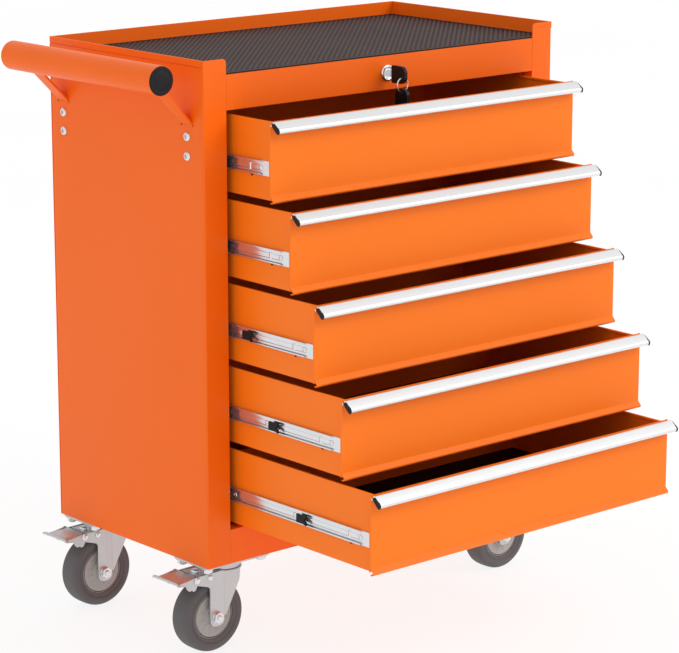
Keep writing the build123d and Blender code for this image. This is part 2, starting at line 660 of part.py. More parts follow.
with BuildPart() as rigid_forks:
    for caster_y in CASTER_YS:
        add_top_plate(RIGID_X, caster_y)
        for y0, y1 in leg_ranges(caster_y):
            leg_outline = [
                (RIGID_X - 34, PLATE_BOTTOM),
                (RIGID_X + 34, PLATE_BOTTOM),
                (RIGID_X + LEG_FOOT, AXLE_HEIGHT + 4),
                (RIGID_X + LEG_FOOT, AXLE_HEIGHT),
                (RIGID_X - LEG_FOOT, AXLE_HEIGHT),
                (RIGID_X - LEG_FOOT, AXLE_HEIGHT + 4),
            ]
            side_profile(leg_outline, y0, y1)
            rod(LEG_FOOT, RIGID_X, AXLE_HEIGHT, y0, y1)
        add_leg_bores(RIGID_X, caster_y)
save(rigid_forks.part, "rigid_forks")


def add_swivel_fork(caster_y):
    """Round head, bridge and two legs; the legs reach out to the brake pivot."""
    post(HEAD_RADIUS, SWIVEL_X, caster_y, FORK_TOP - 3, FORK_TOP)
    block(PIVOT_X + 6, SWIVEL_X + 16, caster_y - LEG_INNER, caster_y + LEG_INNER, FORK_TOP - 3, FORK_TOP)
    for y0, y1 in leg_ranges(caster_y):
        leg_outline = [
            (PIVOT_X - 5.5, PIVOT_Z - 2),
            (PIVOT_X - 4, PIVOT_Z + 3.5),
            (PIVOT_X + 4, FORK_TOP),
            (SWIVEL_X + 18, FORK_TOP),
            (SWIVEL_X + 14, FORK_TOP - 22),
            (SWIVEL_AXLE_X + 14, AXLE_HEIGHT + 4),
            (SWIVEL_AXLE_X + LEG_FOOT, AXLE_HEIGHT),
            (SWIVEL_AXLE_X - LEG_FOOT, AXLE_HEIGHT),
            (SWIVEL_AXLE_X - LEG_FOOT + 1, FORK_TOP - 27),
            (SWIVEL_AXLE_X - LEG_FOOT - 3, FORK_TOP - 21),
            (PIVOT_X + 2, PIVOT_Z - 7.5),
            (PIVOT_X - 3, PIVOT_Z - 6),
        ]
        side_profile(leg_outline, y0, y1)
        rod(LEG_FOOT, SWIVEL_AXLE_X, AXLE_HEIGHT, y0, y1)
    add_leg_bores(SWIVEL_AXLE_X, caster_y)
    post(5.1, SWIVEL_X, caster_y, FORK_TOP - 4, FORK_TOP + 1, Mode.SUBTRACT)
    rod(PIVOT_RADIUS, PIVOT_X, PIVOT_Z, caster_y - PIVOT_END, caster_y + PIVOT_END)
    rod(PIVOT_HEAD, PIVOT_X, PIVOT_Z, caster_y - PIVOT_END, caster_y - PEDAL_HALF - FIT_GAP)
    rod(PIVOT_HEAD, PIVOT_X, PIVOT_Z, caster_y + PEDAL_HALF + FIT_GAP, caster_y + PIVOT_END)


def add_brake_pedal(caster_y):
    """A broad foot plate with a rolled tip, turned-down cheeks and a hinge barrel."""
    tip_x = PIVOT_X - PEDAL_TIP
    tip_z = PIVOT_Z + 3.6
    plate_top = PIVOT_Z + 4.2
    plate_foot = PIVOT_Z + 1.7
    root_start = PIVOT_X + 1
    plate_start = PIVOT_X - 7
    block(plate_start - 1, root_start, caster_y - ROOT_HALF, caster_y + ROOT_HALF, plate_foot, plate_top)
    plate_outline = [
        (plate_start, plate_foot),
        (plate_start, plate_top),
        (tip_x + 11, plate_top),
        (tip_x + 3, tip_z + 1),
        (tip_x, tip_z - 1.5),
        (tip_x + 2, tip_z - 3.2),
        (tip_x + 5, tip_z - 1.6),
        (tip_x + 11, plate_foot),
    ]
    side_profile(plate_outline, caster_y - PEDAL_HALF, caster_y + PEDAL_HALF)
    bead_outline = [
        (tip_x + 7, plate_foot),
        (tip_x + 7, tip_z + 0.6),
        (tip_x + 3, tip_z + 1),
        (tip_x, tip_z - 1.5),
        (tip_x + 2, tip_z - 3.2),
    ]
    side_profile(bead_outline, caster_y - PEDAL_TIP_HALF, caster_y + PEDAL_TIP_HALF)
    cheek_outline = [
        (PIVOT_X, plate_top),
        (tip_x + 8, plate_top),
        (tip_x + 6, PIVOT_Z),
        (tip_x + 9, PIVOT_Z - 2),
        (PIVOT_X - 19, PIVOT_Z - 2.5),
        (PIVOT_X - 17, PIVOT_Z - 7.5),
        (PIVOT_X - 12, PIVOT_Z - 8.5),
        (PIVOT_X - 7, PIVOT_Z - 13),
        (PIVOT_X - 3, PIVOT_Z - 10),
        (PIVOT_X, PIVOT_Z - 6),
    ]
    for y0, y1 in ((-PEDAL_HALF, -CHEEK_INNER), (CHEEK_INNER, PEDAL_HALF)):
        side_profile(cheek_outline, caster_y + y0, caster_y + y1)
        rod(6, PIVOT_X, PIVOT_Z, caster_y + y0, caster_y + y1)
    rod(BARREL_OUTER, PIVOT_X, PIVOT_Z, caster_y - ROOT_HALF, caster_y + ROOT_HALF)
    rod(PIVOT_RADIUS + 0.05, PIVOT_X, PIVOT_Z, caster_y - AXLE_END, caster_y + AXLE_END, Mode.SUBTRACT)


def add_tyre(x, caster_y):
    """A soft tread ring with rounded shoulders."""
    rod(WHEEL_RADIUS, x, AXLE_HEIGHT, caster_y - WHEEL_WIDTH / 2, caster_y + WHEEL_WIDTH / 2)
    fillet(edges().filter_by(GeomType.CIRCLE), radius=TREAD_SHOULDER)
    rod(RIM_RADIUS, x, AXLE_HEIGHT, caster_y - WHEEL_WIDTH, caster_y + WHEEL_WIDTH, Mode.SUBTRACT)


def add_hub(x, caster_y):
    """The wheel centre: a rim, a recessed web and a bored boss."""
    rod(RIM_RADIUS, x, AXLE_HEIGHT, caster_y - RIM_HALF, caster_y + RIM_HALF)
    for y0, y1 in ((-RIM_HALF, -12.5), (12.5, RIM_HALF)):
        rod(GROOVE_RADIUS, x, AXLE_HEIGHT, caster_y + y0, caster_y + y1, Mode.SUBTRACT)
    rod(DISC_RADIUS, x, AXLE_HEIGHT, caster_y - DISC_HALF, caster_y + DISC_HALF)
    rod(BOSS_RADIUS, x, AXLE_HEIGHT, caster_y - BOSS_HALF, caster_y + BOSS_HALF)
    rod(AXLE_RADIUS + 0.05, x, AXLE_HEIGHT, caster_y - AXLE_END, caster_y + AXLE_END, Mode.SUBTRACT)


for row, caster_y in zip(("front", "rear"), CASTER_YS):
    with BuildPart() as swivel_fork:
        add_swivel_fork(caster_y)
    save(swivel_fork.part, f"{row}_left_fork")

    with BuildPart() as swivel_axle:
        add_axle_bolt(SWIVEL_AXLE_X, caster_y)
    save(swivel_axle.part, f"{row}_left_axle")

    with BuildPart() as brake_pedal:
        add_brake_pedal(caster_y)
    save(brake_pedal.part, f"{row}_left_brake_pedal")

    for side, wheel_x in (("left", SWIVEL_AXLE_X), ("right", RIGID_X)):
        with BuildPart() as tyre:
            add_tyre(wheel_x, caster_y)
        save(tyre.part, f"{row}_{side}_tyre")

        with BuildPart() as hub:
            add_hub(wheel_x, caster_y)
        save(hub.part, f"{row}_{side}_hub")
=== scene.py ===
"""Looks for a rolling tool cart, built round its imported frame. Lengths are in metres."""
import math
import bmesh
import bpy
from bpy.props import FloatProperty, FloatVectorProperty, IntProperty, PointerProperty
from mathutils import Matrix, Vector


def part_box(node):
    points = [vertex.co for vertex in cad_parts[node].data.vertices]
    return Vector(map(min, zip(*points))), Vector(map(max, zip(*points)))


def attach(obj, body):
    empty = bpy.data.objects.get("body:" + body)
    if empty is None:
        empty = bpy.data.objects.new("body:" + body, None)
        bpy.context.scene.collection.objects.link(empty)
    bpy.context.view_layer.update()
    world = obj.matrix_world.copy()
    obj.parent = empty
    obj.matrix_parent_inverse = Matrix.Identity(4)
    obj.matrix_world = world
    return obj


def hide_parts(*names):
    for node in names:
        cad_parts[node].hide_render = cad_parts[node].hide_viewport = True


bl_info = {
    "name": "Rolling tool cart",
    "version": (1, 0, 0),
    "blender": (4, 5, 0),
    "location": "View3D > Sidebar > Tool cart",
    "description": "Builds the sheets, drawers, runners, lock and casters of a rolling tool cart",
    "category": "Add Mesh",
}

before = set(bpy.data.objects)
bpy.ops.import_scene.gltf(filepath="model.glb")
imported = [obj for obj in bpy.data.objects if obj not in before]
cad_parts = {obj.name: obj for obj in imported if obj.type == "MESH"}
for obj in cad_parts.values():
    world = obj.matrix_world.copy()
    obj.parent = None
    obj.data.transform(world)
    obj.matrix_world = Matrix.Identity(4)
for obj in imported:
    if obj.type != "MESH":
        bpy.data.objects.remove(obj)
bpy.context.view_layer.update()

MM = 0.001
DRAWERS = tuple(f"drawer_{number}" for number in range(1, 6))
ROWS = ("front", "rear")
SHEET = 1.0 * MM
STRAP_WIDTH = 22 * MM
TRAIL = 25.5 * MM
PIVOT_REACH = 34.5 * MM
PIVOT_DROP = 4.5 * MM


def mm(value):
    """A number, point or list given in millimetres, in metres."""
    if isinstance(value, (int, float)):
        return value * MM
    return [mm(item) for item in value]


def about(x, z, points, way=1):
    """Points given in millimetres from a place, in metres; way -1 mirrors them across."""
    return [(x + way * across * MM, z + up * MM) for across, up in points]


def low(node):
    """Lowest corner of a frame node at rest."""
    return Vector(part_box(node)[0])


def high(node):
    """Highest corner of a frame node at rest."""
    return Vector(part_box(node)[1])


def middle(node):
    """Middle of a frame node's box at rest."""
    return (low(node) + high(node)) / 2


LEFT, FRONT, BASE = low("left_side_panel")
RIGHT, BACK, TOP = high("top_tray")
MIDDLE = (LEFT + RIGHT) / 2


# ------------------------------------------------------------------ shading
class Wire:
    """A shader output that takes part in Python arithmetic."""

    def __init__(self, finish, socket):
        self.finish = finish
        self.socket = socket

    def sum_of(self, operation, first, second=0.0):
        return self.finish.add("ShaderNodeMath", {"operation": operation}, {0: first, 1: second})

    def __add__(self, other):
        return self.sum_of("ADD", self, other)

    __radd__ = __add__

    def __sub__(self, other):
        return self.sum_of("SUBTRACT", self, other)

    def __rsub__(self, other):
        return self.sum_of("SUBTRACT", other, self)

    def __mul__(self, other):
        return self.sum_of("MULTIPLY", self, other)

    __rmul__ = __mul__


class Finish:
    """One material: its shader and the nodes that feed it."""

    def __init__(self, name, **constants):
        self.material = bpy.data.materials.new(name)
        self.material.use_nodes = True
        self.tree = self.material.node_tree
        self.shader = self.tree.nodes["Principled BSDF"]
        for socket, value in constants.items():
            self.shader.inputs[socket.replace("_", " ")].default_value = value

    def put(self, socket, value):
        """Link a wire to a socket, or set the socket's own value."""
        if isinstance(value, Wire):
            self.tree.links.new(value.socket, socket)
        else:
            socket.default_value = value

    def add(self, kind, settings=None, values=None, output=0):
        """A node of one kind: settings first, then the values or links of its sockets."""
        node = self.tree.nodes.new(kind)
        for key, value in (settings or {}).items():
            setattr(node, key, value)
        for key, value in (values or {}).items():
            self.put(node.inputs[key], value)
        return Wire(self, node.outputs[output])

    def place(self, stretch=(1, 1, 1)):
        """Position on the object in metres, stretched along each axis."""
        where = self.add("ShaderNodeTexCoord", output=3)
        return self.add("ShaderNodeVectorMath", {"operation": "MULTIPLY"}, {0: where, 1: stretch})

    def noise(self, scale, detail=2.0, stretch=(1, 1, 1)):
        """Soft noise from 0 to 1."""
        values = {"Vector": self.place(stretch), "Scale": scale, "Detail": detail}
        return self.add("ShaderNodeTexNoise", None, values)

    def blend(self, factor, first, second):
        """A colour between first and second, each a wire or a colour."""
        ends = [end if isinstance(end, Wire) else (*end, 1) for end in (first, second)]
        return self.add("ShaderNodeMix", {"data_type": "RGBA"}, {0: factor, 6: ends[0], 7: ends[1]}, output=2)

    def feed(self, **inputs):
        """Send values to the shader's own sockets."""
        for socket, value in inputs.items():
            self.put(self.shader.inputs[socket.replace("_", " ")], value)
        return self

    def relief(self, height, depth, strength=1.0):
        """Surface relief of a depth in metres."""
        bump = self.add("ShaderNodeBump", None, {"Height": height, "Distance": depth, "Strength": strength})
        self.put(self.shader.inputs["Normal"], bump)
        return self


def darker(colour, amount):
    """The same colour, dimmed."""
    return tuple(channel * amount for channel in colour)


def powder_coat(name, colour):
    """Semi-gloss powder coat with a fine orange-peel skin."""
    finish = Finish(name, Coat_Weight=0.05, Coat_Roughness=0.25, Specular_IOR_Level=0.2)
    cloud = finish.noise(5, 3)
    peel = finish.noise(420, 2)
    speck = finish.noise(1500, 1)
    finish.feed(Base_Color=finish.blend(cloud * 0.5 + speck * 0.25, colour, darker(colour, 0.9)))
    finish.feed(Roughness=0.34 + cloud * 0.08 + speck * 0.06)
    return finish.relief(peel + speck * 0.3, 0.00006)


def aluminium(name, colour):
    """Satin aluminium drawn along X."""
    finish = Finish(name, Metallic=1.0)
    grain = finish.noise(1, 4, (6, 900, 900))
    streak = finish.noise(1, 2, (1.5, 160, 160))
    finish.feed(Base_Color=finish.blend(grain * 0.6 + streak * 0.4, colour, darker(colour, 0.82)))
    finish.feed(Roughness=0.3 + streak * 0.12 + grain * 0.06)
    return finish.relief(grain, 0.00003)


def zinc(name, colour, rough, grain):
    """Zinc plate with faint cloudy grains of a depth in metres."""
    finish = Finish(name, Metallic=0.9)
    grains = finish.noise(260, 4)
    cloud = finish.noise(28, 3)
    finish.feed(Base_Color=finish.blend(grains * 0.3 + cloud * 0.7, colour, darker(colour, 0.86)))
    finish.feed(Roughness=rough + grains * 0.06 + cloud * 0.08)
    return finish.relief(grains, grain)


def tyre_rubber(name, colour):
    """Matt grey thermoplastic tread with a dusty bloom."""
    finish = Finish(name, Specular_IOR_Level=0.35)
    grit = finish.noise(900, 3)
    bloom = finish.noise(40, 4)
    finish.feed(Base_Color=finish.blend(bloom * 0.7 + grit * 0.3, darker(colour, 0.8), darker(colour, 1.35)))
    finish.feed(Roughness=0.62 + bloom * 0.16)
    return finish.relief(grit, 0.00012)


def moulded(name, colour, rough, grain=0.00008):
    """Moulded plastic with a fine spark-eroded grain."""
    finish = Finish(name, Specular_IOR_Level=0.22)
    skin = finish.noise(1100, 2)
    cloud = finish.noise(30, 3)
    finish.feed(Base_Color=finish.blend(cloud * 0.6 + skin * 0.3, colour, darker(colour, 1.3)))
    finish.feed(Roughness=rough + skin * 0.08 + cloud * 0.06)
    return finish.relief(skin, grain)


def mat_rubber(name, colour):
    """Matt rubber, lighter on the tops of the mat's ribs and darkened with painted shade on the low floor between
    them.
    """
    finish = Finish(name, Specular_IOR_Level=0.3)
    cloud = finish.noise(9, 3)
    pores = finish.noise(1300, 2)
    rib = bpy.context.scene.cart_sizes.rib_height
    # Height mask: the low floor between the ribs and inside the raised margin gets a painted shade tone, and the
    # rib tops get the lighter one. The drawer liners lie wholly low and take the dark tone as their own colour.
    rise = finish.add("ShaderNodeSeparateXYZ", None, {0: finish.place()}, output=2) - (high("top_mat").z - rib)
    crest = finish.add("ShaderNodeClamp", None, {0: rise * (1 / rib)})
    liner_tone_and_painted_shade = finish.blend(cloud * 0.6 + pores * 0.3, darker(colour, 0.14), darker(colour, 0.26))
    pale = finish.blend(cloud * 0.6 + pores * 0.3, darker(colour, 1.1), darker(colour, 1.6))
    finish.feed(Base_Color=finish.blend(crest, liner_tone_and_painted_shade, pale))
    finish.feed(Roughness=0.6 + cloud * 0.12 + pores * 0.08)
    return finish.relief(pores, 0.0001)


def polished(name, colour):
    """Polished chrome with a few hairline scuffs."""
    finish = Finish(name, Metallic=1.0)
    scuff = finish.noise(1, 4, (300, 300, 2500))
    finish.feed(Base_Color=finish.blend(scuff, colour, darker(colour, 0.9)))
    finish.feed(Roughness=0.08 + scuff * 0.1)
    return finish.relief(scuff, 0.00001)


FINISHES = {}


def finishes():
    """Every material by its slot name, made once."""
    if not FINISHES:
        paint = bpy.context.scene.cart_paint
        made = {
            "cabinet_paint": powder_coat("cabinet_coat", paint.cabinet),
            "drawer_paint": powder_coat("drawer_coat", paint.drawers),
            "grip_aluminium": aluminium("drawn_aluminium", paint.grips),
            "runner_zinc": zinc("runner_plate", paint.runners, 0.12, 0.000002),
            "caster_zinc": zinc("caster_plate", paint.casters, 0.34, 0.00003),
            "bolt_zinc": zinc("bolt_plate", paint.bolts, 0.12, 0.000004),
            "tyre_grey": tyre_rubber("tread_rubber", paint.tyres),
            "hub_grey": moulded("wheel_centre_plastic", paint.hubs, 0.42),
            "mat_rubber": mat_rubber("ribbed_rubber_painted_shade", paint.mat),
            "lock_chrome": polished("lock_plate", paint.chrome),
            "key_plastic": moulded("key_grip_plastic", paint.plastic, 0.28),
            "cap_plastic": moulded("cap_grain_plastic", paint.plastic, 0.45),
        }
        FINISHES.update({slot: finish.material for slot, finish in made.items()})
    return FINISHES


# ----------------------------------------------------------------- geometry
def to_object(name, data):
    """A scene object for a mesh, light or camera."""
    thing = bpy.data.objects.new(name, data)
    bpy.context.scene.collection.objects.link(thing)
    return thing


def piece(name, solid, slot, body, stands_for=(), smooth=35):
    """Turn a bmesh into a finished piece that rides on a body."""
    bmesh.ops.recalc_face_normals(solid, faces=solid.faces)
    mesh = bpy.data.meshes.new(name)
    solid.to_mesh(mesh)
    solid.free()
    mesh.shade_smooth()
    mesh.set_sharp_from_angle(angle=math.radians(smooth))
    mesh.materials.append(finishes()[slot])
    thing = to_object(name, mesh)
    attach(thing, body)
    if stands_for:
        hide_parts(*stands_for)
    return thing


def soften(thing, width, segments=2, angle=40):
    """Round a piece's sharp edges by a small bevel."""
    bevel = thing.modifiers.new("edges", "BEVEL")
    bevel.width = width
    bevel.segments = segments
    bevel.limit_method = "ANGLE"
    bevel.angle_limit = math.radians(angle)
    bevel.use_clamp_overlap = True
    bevel.harden_normals = True
    return thing


def dress(node, slot, width=0.4 * MM):
    """Give a frame node its material, joined corners and rounded edges."""
    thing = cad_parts[node]
    for place in thing.material_slots:
        place.material = finishes()[slot]
    weld = thing.modifiers.new("join", "WELD")
    weld.merge_threshold = 0.005 * MM
    if width:
        soften(thing, width, 2, 35)
    normals = thing.modifiers.new("shade", "WEIGHTED_NORMAL")
    normals.weight = 60
    return thing


def turned(profile, origin, axis, steps=72, solid=None):
    """A lathe shape: (radius, distance along axis) points turned about the axis."""
    solid = solid or bmesh.new()
    turn = Vector((0, 0, 1)).rotation_difference(Vector(axis)).to_matrix().to_4x4()
    place = Matrix.Translation(origin) @ turn
    rings = []
    for radius, along in profile:
        if radius < 1e-7:
            rings.append([solid.verts.new(place @ Vector((0, 0, along)))])
            continue
        ring = []
        for step in range(steps):
            angle = 2 * math.pi * step / steps
            spot = Vector((radius * math.cos(angle), radius * math.sin(angle), along))
            ring.append(solid.verts.new(place @ spot))
        rings.append(ring)
    for first, second in zip(rings, rings[1:]):
        for step in range(steps):
            after = (step + 1) % steps
            corners = list(dict.fromkeys((
                first[step % len(first)], first[after % len(first)],
                second[after % len(second)], second[step % len(second)])))
            if len(corners) > 2:
                solid.faces.new(corners)
    for ring, radius in ((rings[0], profile[0][0]), (rings[-1], profile[-1][0])):
        if radius > 1e-7 and profile[0] != profile[-1]:
            solid.faces.new(ring)
    if profile[0] == profile[-1]:
        bmesh.ops.remove_doubles(solid, verts=solid.verts, dist=1e-7)
    return solid


def rounded(points, radii, steps=5):
    """A polyline with each inner corner turned into an arc of its radius."""
    points = [Vector(point) for point in points]
    if not isinstance(radii, (list, tuple)):
        radii = [radii] * (len(points) - 2)
    path = [points[0]]
    for before, corner, after, radius in zip(points, points[1:], points[2:], radii):
        towards = (before - corner).normalized()
        away = (after - corner).normalized()
        half = towards.angle(away) / 2
        if radius <= 0 or half > math.radians(89):
            path.append(corner)
            continue
        reach = radius / math.tan(half)
        centre = corner + (towards + away).normalized() * radius / math.sin(half)
        start = corner + towards * reach - centre
        end = corner + away * reach - centre
        for step in range(steps + 1):
            spread = start.lerp(end, step / steps).normalized() * radius
            path.append(centre + spread)
    path.append(points[-1])
    return path


def loop_rounded(points, radii, steps=4):
    """A closed outline with rounded corners; one radius for each point."""
    count = len(points)
    if not isinstance(radii, (list, tuple)):
        radii = [radii] * count
    outline = []
    for index, (corner, radius) in enumerate(zip(points, radii)):
        arc = rounded([points[index - 1], corner, points[(index + 1) % count]], radius, steps)
        outline.extend(arc[1:-1])
    return outline


def sheet_outline(path, thickness):
    """A bent sheet's section: the path offset to both sides of its middle line."""
    near, far = [], []
    for index, point in enumerate(path):
        before = path[max(index - 1, 0)]
        after = path[min(index + 1, len(path) - 1)]
        along = (after - before).normalized()
        across = Vector((-along.y, along.x)) * thickness / 2
        near.append(point + across)
        far.append(point - across)
    return near + far[::-1]


AXES = {
    "x": lambda point, depth: Vector((depth, point[0], point[1])),
    "y": lambda point, depth: Vector((point[0], depth, point[1])),
    "z": lambda point, depth: Vector((point[0], point[1], depth)),
}


def slab(outline, axis, start, end, solid=None):
    """An outline made solid along one axis."""
    solid = solid or bmesh.new()
    ends = []
    for depth in (start, end):
        ends.append([solid.verts.new(AXES[axis](point, depth)) for point in outline])
    count = len(outline)
    for index in range(count):
        after = (index + 1) % count
        solid.faces.new((ends[0][index], ends[0][after], ends[1][after], ends[1][index]))
    for ring in ends:
        cap = solid.faces.new(ring)
        cap.normal_update()
        bmesh.ops.triangulate(solid, faces=[cap], ngon_method="EAR_CLIP")
    return solid


def oblong(x0, z0, x1, z1):
    """Four corners of a rectangle."""
    return [(x0, z0), (x1, z0), (x1, z1), (x0, z1)]


def band(outline, axis, place, way, start, end, solid):
    """An outline made solid between two distances from a place, to one side."""
    near, far = sorted((place + way * start, place + way * end))
    return slab(outline, axis, near, far, solid)


def cuboid(corner, opposite, solid=None):
    """A block between two corners."""
    return slab(oblong(*corner[:2], *opposite[:2]), "z", corner[2], opposite[2], solid)


def carve(thing, cutter):
    """Cut a bmesh out of a piece."""
    mesh = bpy.data.meshes.new("cutter")
    bmesh.ops.recalc_face_normals(cutter, faces=cutter.faces)
    cutter.to_mesh(mesh)
    cutter.free()
    tool = to_object("cutter", mesh)
    cut = thing.modifiers.new("cut", "BOOLEAN")
    cut.object = tool
    cut.solver = "EXACT"
    bpy.context.view_layer.update()
    carved = bpy.data.meshes.new_from_object(thing.evaluated_get(bpy.context.evaluated_depsgraph_get()))
    thing.modifiers.clear()
    thing.data = carved
    bpy.data.objects.remove(tool)
    carved.set_sharp_from_angle(angle=math.radians(35))
    return thing


def hexagon(centre, across, turn=0.0):
    """Six corners of a nut round a centre."""
    radius = across / math.sqrt(3)
    corners = []
    for side in range(6):
        angle = math.radians(60 * side) + turn
        corners.append((centre[0] + radius * math.cos(angle), centre[1] + radius * math.sin(angle)))
    return corners


# ------------------------------------------------------------------ settings
def colour(name, description, default):
    """A colour setting."""
    return FloatVectorProperty(
        name=name, description=description, default=default, subtype="COLOR", size=3, min=0, max=1)


def scalar(name, description, default, least=0.0):
    """A plain number setting."""
    return FloatProperty(name=name, description=description, default=default, min=least)


def length(name, description, default):
    """A length setting."""
    return FloatProperty(name=name, description=description, default=default, unit="LENGTH", min=0)


class CartPaint(bpy.types.PropertyGroup):
    """Colours of the cart's finishes"""

    cabinet: colour("Cabinet", "Powder coat of the cabinet and handle", (0.96, 0.145, 0.002))
    drawers: colour("Drawers", "Powder coat of the drawers", (1.0, 0.198, 0.006))
    grips: colour("Pulls", "Drawn aluminium of the drawer pulls", (0.9, 0.9, 0.91))
    runners: colour("Runners", "Zinc plate of the drawer runners", (0.78, 0.79, 0.81))
    casters: colour("Casters", "Zinc plate of forks and pedals", (0.62, 0.62, 0.63))
    bolts: colour("Bolts", "Bright plate of screws and bolts", (0.83, 0.83, 0.84))
    tyres: colour("Tyres", "Grey rubber of the treads", (0.105, 0.098, 0.1))
    hubs: colour("Wheel centres", "Grey plastic of the wheel centres", (0.34, 0.325, 0.31))
    mat: colour("Mat", "Rubber of the top mat and the liners", (0.05, 0.022, 0.018))
    chrome: colour("Lock", "Chrome of the lock", (0.85, 0.85, 0.86))
    plastic: colour("Black plastic", "Key grips, end caps and catches", (0.007, 0.007, 0.008))


class CartSizes(bpy.types.PropertyGroup):
    """Sizes of the details that the frame leaves open"""

    fold: length("Fold", "Middle-line radius where the sheets are folded", 1.7 * MM)
    edge: length("Edge", "Rounding of cut sheet edges", 0.38 * MM)
    post_corner: length("Post corner", "Radius of a post's top corner", 5 * MM)
    rib_pitch: length("Rib pitch", "Distance between the mat's ribs", 6.4 * MM)
    rib_height: length("Rib height", "Height of the mat's ribs", 0.7 * MM)
    liner: length("Liner", "Thickness of the drawer liners", 1.8 * MM)
    wheel_steps: IntProperty(name="Wheel steps", description="Facets round a wheel", default=96, min=12)


class CartStage(bpy.types.PropertyGroup):
    """Camera and light"""

    azimuth: scalar("Azimuth", "Camera's turn to the left in degrees", 41.2, -180)
    elevation: scalar("Elevation", "Camera's height angle in degrees", 13.35, -90)
    lens: scalar("Lens", "Focal length in millimetres", 145.1, 10)
    key: scalar("Key light", "Strength of the main light", 76)
    fill: scalar("Fill light", "Strength of the left light", 1)
    sky: scalar("Sky", "Strength of the even light", 0.85)


# ------------------------------------------------------------------- cabinet
class CART_OT_cabinet(bpy.types.Operator):
    """Fold the side sheets and finish the cabinet's other sheets"""

    bl_idname = "cart.cabinet"
    bl_label = "Cabinet sheets"

    def execute(self, context):
        sizes = context.scene.cart_sizes
        for node in ("back_panel", "bottom_pan", "lock_rail", "top_tray", "slide_uprights"):
            dress(node, "cabinet_paint", sizes.edge)
        side_panel("left_side_panel", LEFT, 1, sizes)
        side_panel("right_side_panel", RIGHT, -1, sizes)
        return {"FINISHED"}


def side_panel(node, outer, inward, sizes):
    """One side sheet with its folded post and flanges, and the post's own top."""
    half = SHEET / 2
    width = high(node).x - low(node).x
    hem_foot = high("back_panel").z

    def x(distance):
        return outer + inward * distance

    hem = BACK - 1.5 * MM
    path = rounded(
        [(x(14 * MM), hem), (x(half), hem), (x(half), FRONT + half), (x(width), FRONT + half)], sizes.fold)
    solid = slab(sheet_outline(path, SHEET), "z", BASE, hem_foot)
    near, far = sorted((x(width - SHEET), x(width - 0.1 * MM)))
    flange_top = high("lock_rail").z - 2 * MM
    cuboid((near, FRONT + 0.8 * SHEET, BASE + 2 * MM), (far, FRONT + 16 * MM, flange_top), solid)
    sheet = piece(node + "_sheet", solid, "cabinet_paint", "cabinet", (node,), 30)
    if inward > 0:
        for cutter in strap_slots():
            carve(sheet, cutter)
    soften(sheet, sizes.edge, 2, 50)
    crown = loop_rounded(
        [(x(0), hem_foot), (x(width), hem_foot), (x(width), TOP), (x(0), TOP)],
        [0, 0, sizes.post_corner, 0.8 * MM])
    tip = piece(node + "_post_top", slab(crown, "y", FRONT, FRONT + SHEET), "cabinet_paint", "cabinet", (node,))
    soften(tip, sizes.edge)


def strap_slots():
    """Cutters for the two slanted strap slots and for their round end reliefs."""
    cutter, reliefs = bmesh.new(), bmesh.new()
    straps = (low("handle_brackets").y, high("handle_brackets").y - STRAP_WIDTH)
    slant = 2.3 * MM
    middle_height = low("handle_brackets").z + 50 * MM
    for strap in straps:
        slot = [
            (LEFT - 3 * MM, middle_height + 3 * MM + slant), (LEFT - 3 * MM, middle_height + 3 * MM - slant),
            (LEFT + 3 * MM, middle_height - 3 * MM - slant), (LEFT + 3 * MM, middle_height - 3 * MM + slant)]
        slab(slot, "y", strap - 0.5 * MM, strap + STRAP_WIDTH + 0.5 * MM, cutter)
        for end in (strap - 0.6 * MM, strap + STRAP_WIDTH + 0.6 * MM):
            relief = mm([(0, -4), (1.5, -4), (1.5, 4), (0, 4)])
            turned(relief, (LEFT, end, middle_height - 2.6 * MM), (1, 0, 0), 20, reliefs)
    return cutter, reliefs


class CART_OT_top_mat(bpy.types.Operator):
    """Lay the ribbed rubber mat in the top tray"""

    bl_idname = "cart.top_mat"
    bl_label = "Top mat"

    def execute(self, context):
        sizes = context.scene.cart_sizes
        lo, hi = low("top_mat"), high("top_mat")
        floor = hi.z - sizes.rib_height
        solid = cuboid(lo, (hi.x, hi.y, floor))
        border = 7 * MM
        x0, x1 = lo.x + border, hi.x - border
        y0, y1 = lo.y + border, hi.y - border
        step = sizes.rib_pitch * math.sqrt(2)
        crest = 0.2 * step
        foot = 0.3 * step
        offset = y0 - x1 + step
        while offset < y1 - x0:
            add_rib(solid, offset, (x0, x1, y0, y1), foot, crest, floor, hi.z)
            offset += step
        add_border(solid, lo, hi, border * 0.7, floor)
        piece("ribbed_top_mat", solid, "mat_rubber", "cabinet", ("top_mat",), 20)
        return {"FINISHED"}


def add_rib(solid, offset, room, foot, crest, floor, top):
    """One rib along the line y = x + offset, cut square to the mat's margins."""
    x0, x1, y0, y1 = room
    start = max(x0, y0 - offset)
    end = min(x1, y1 - offset)
    if end - start < 2 * foot:
        return
    section = ((-foot, floor), (-crest, top), (crest, top), (foot, floor))
    ends = []
    for along in (start, end):
        ends.append([solid.verts.new((along - side / 2, along + offset + side / 2, z)) for side, z in section])
    for index in range(3):
        solid.faces.new((ends[0][index], ends[0][index + 1], ends[1][index + 1], ends[1][index]))
    for ring in ends:
        solid.faces.new(ring)


def add_border(solid, lo, hi, width, floor):
    """The mat's plain raised margin."""
    inner = (lo.x + width, lo.y + width, hi.x - width, hi.y - width)
    for corner, opposite in (
            ((lo.x, lo.y), (hi.x, inner[1])), ((lo.x, inner[3]), (hi.x, hi.y)),
            ((lo.x, inner[1]), (inner[0], inner[3])), ((inner[2], inner[1]), (hi.x, inner[3]))):
        cuboid((*corner, floor), (*opposite, hi.z), solid)


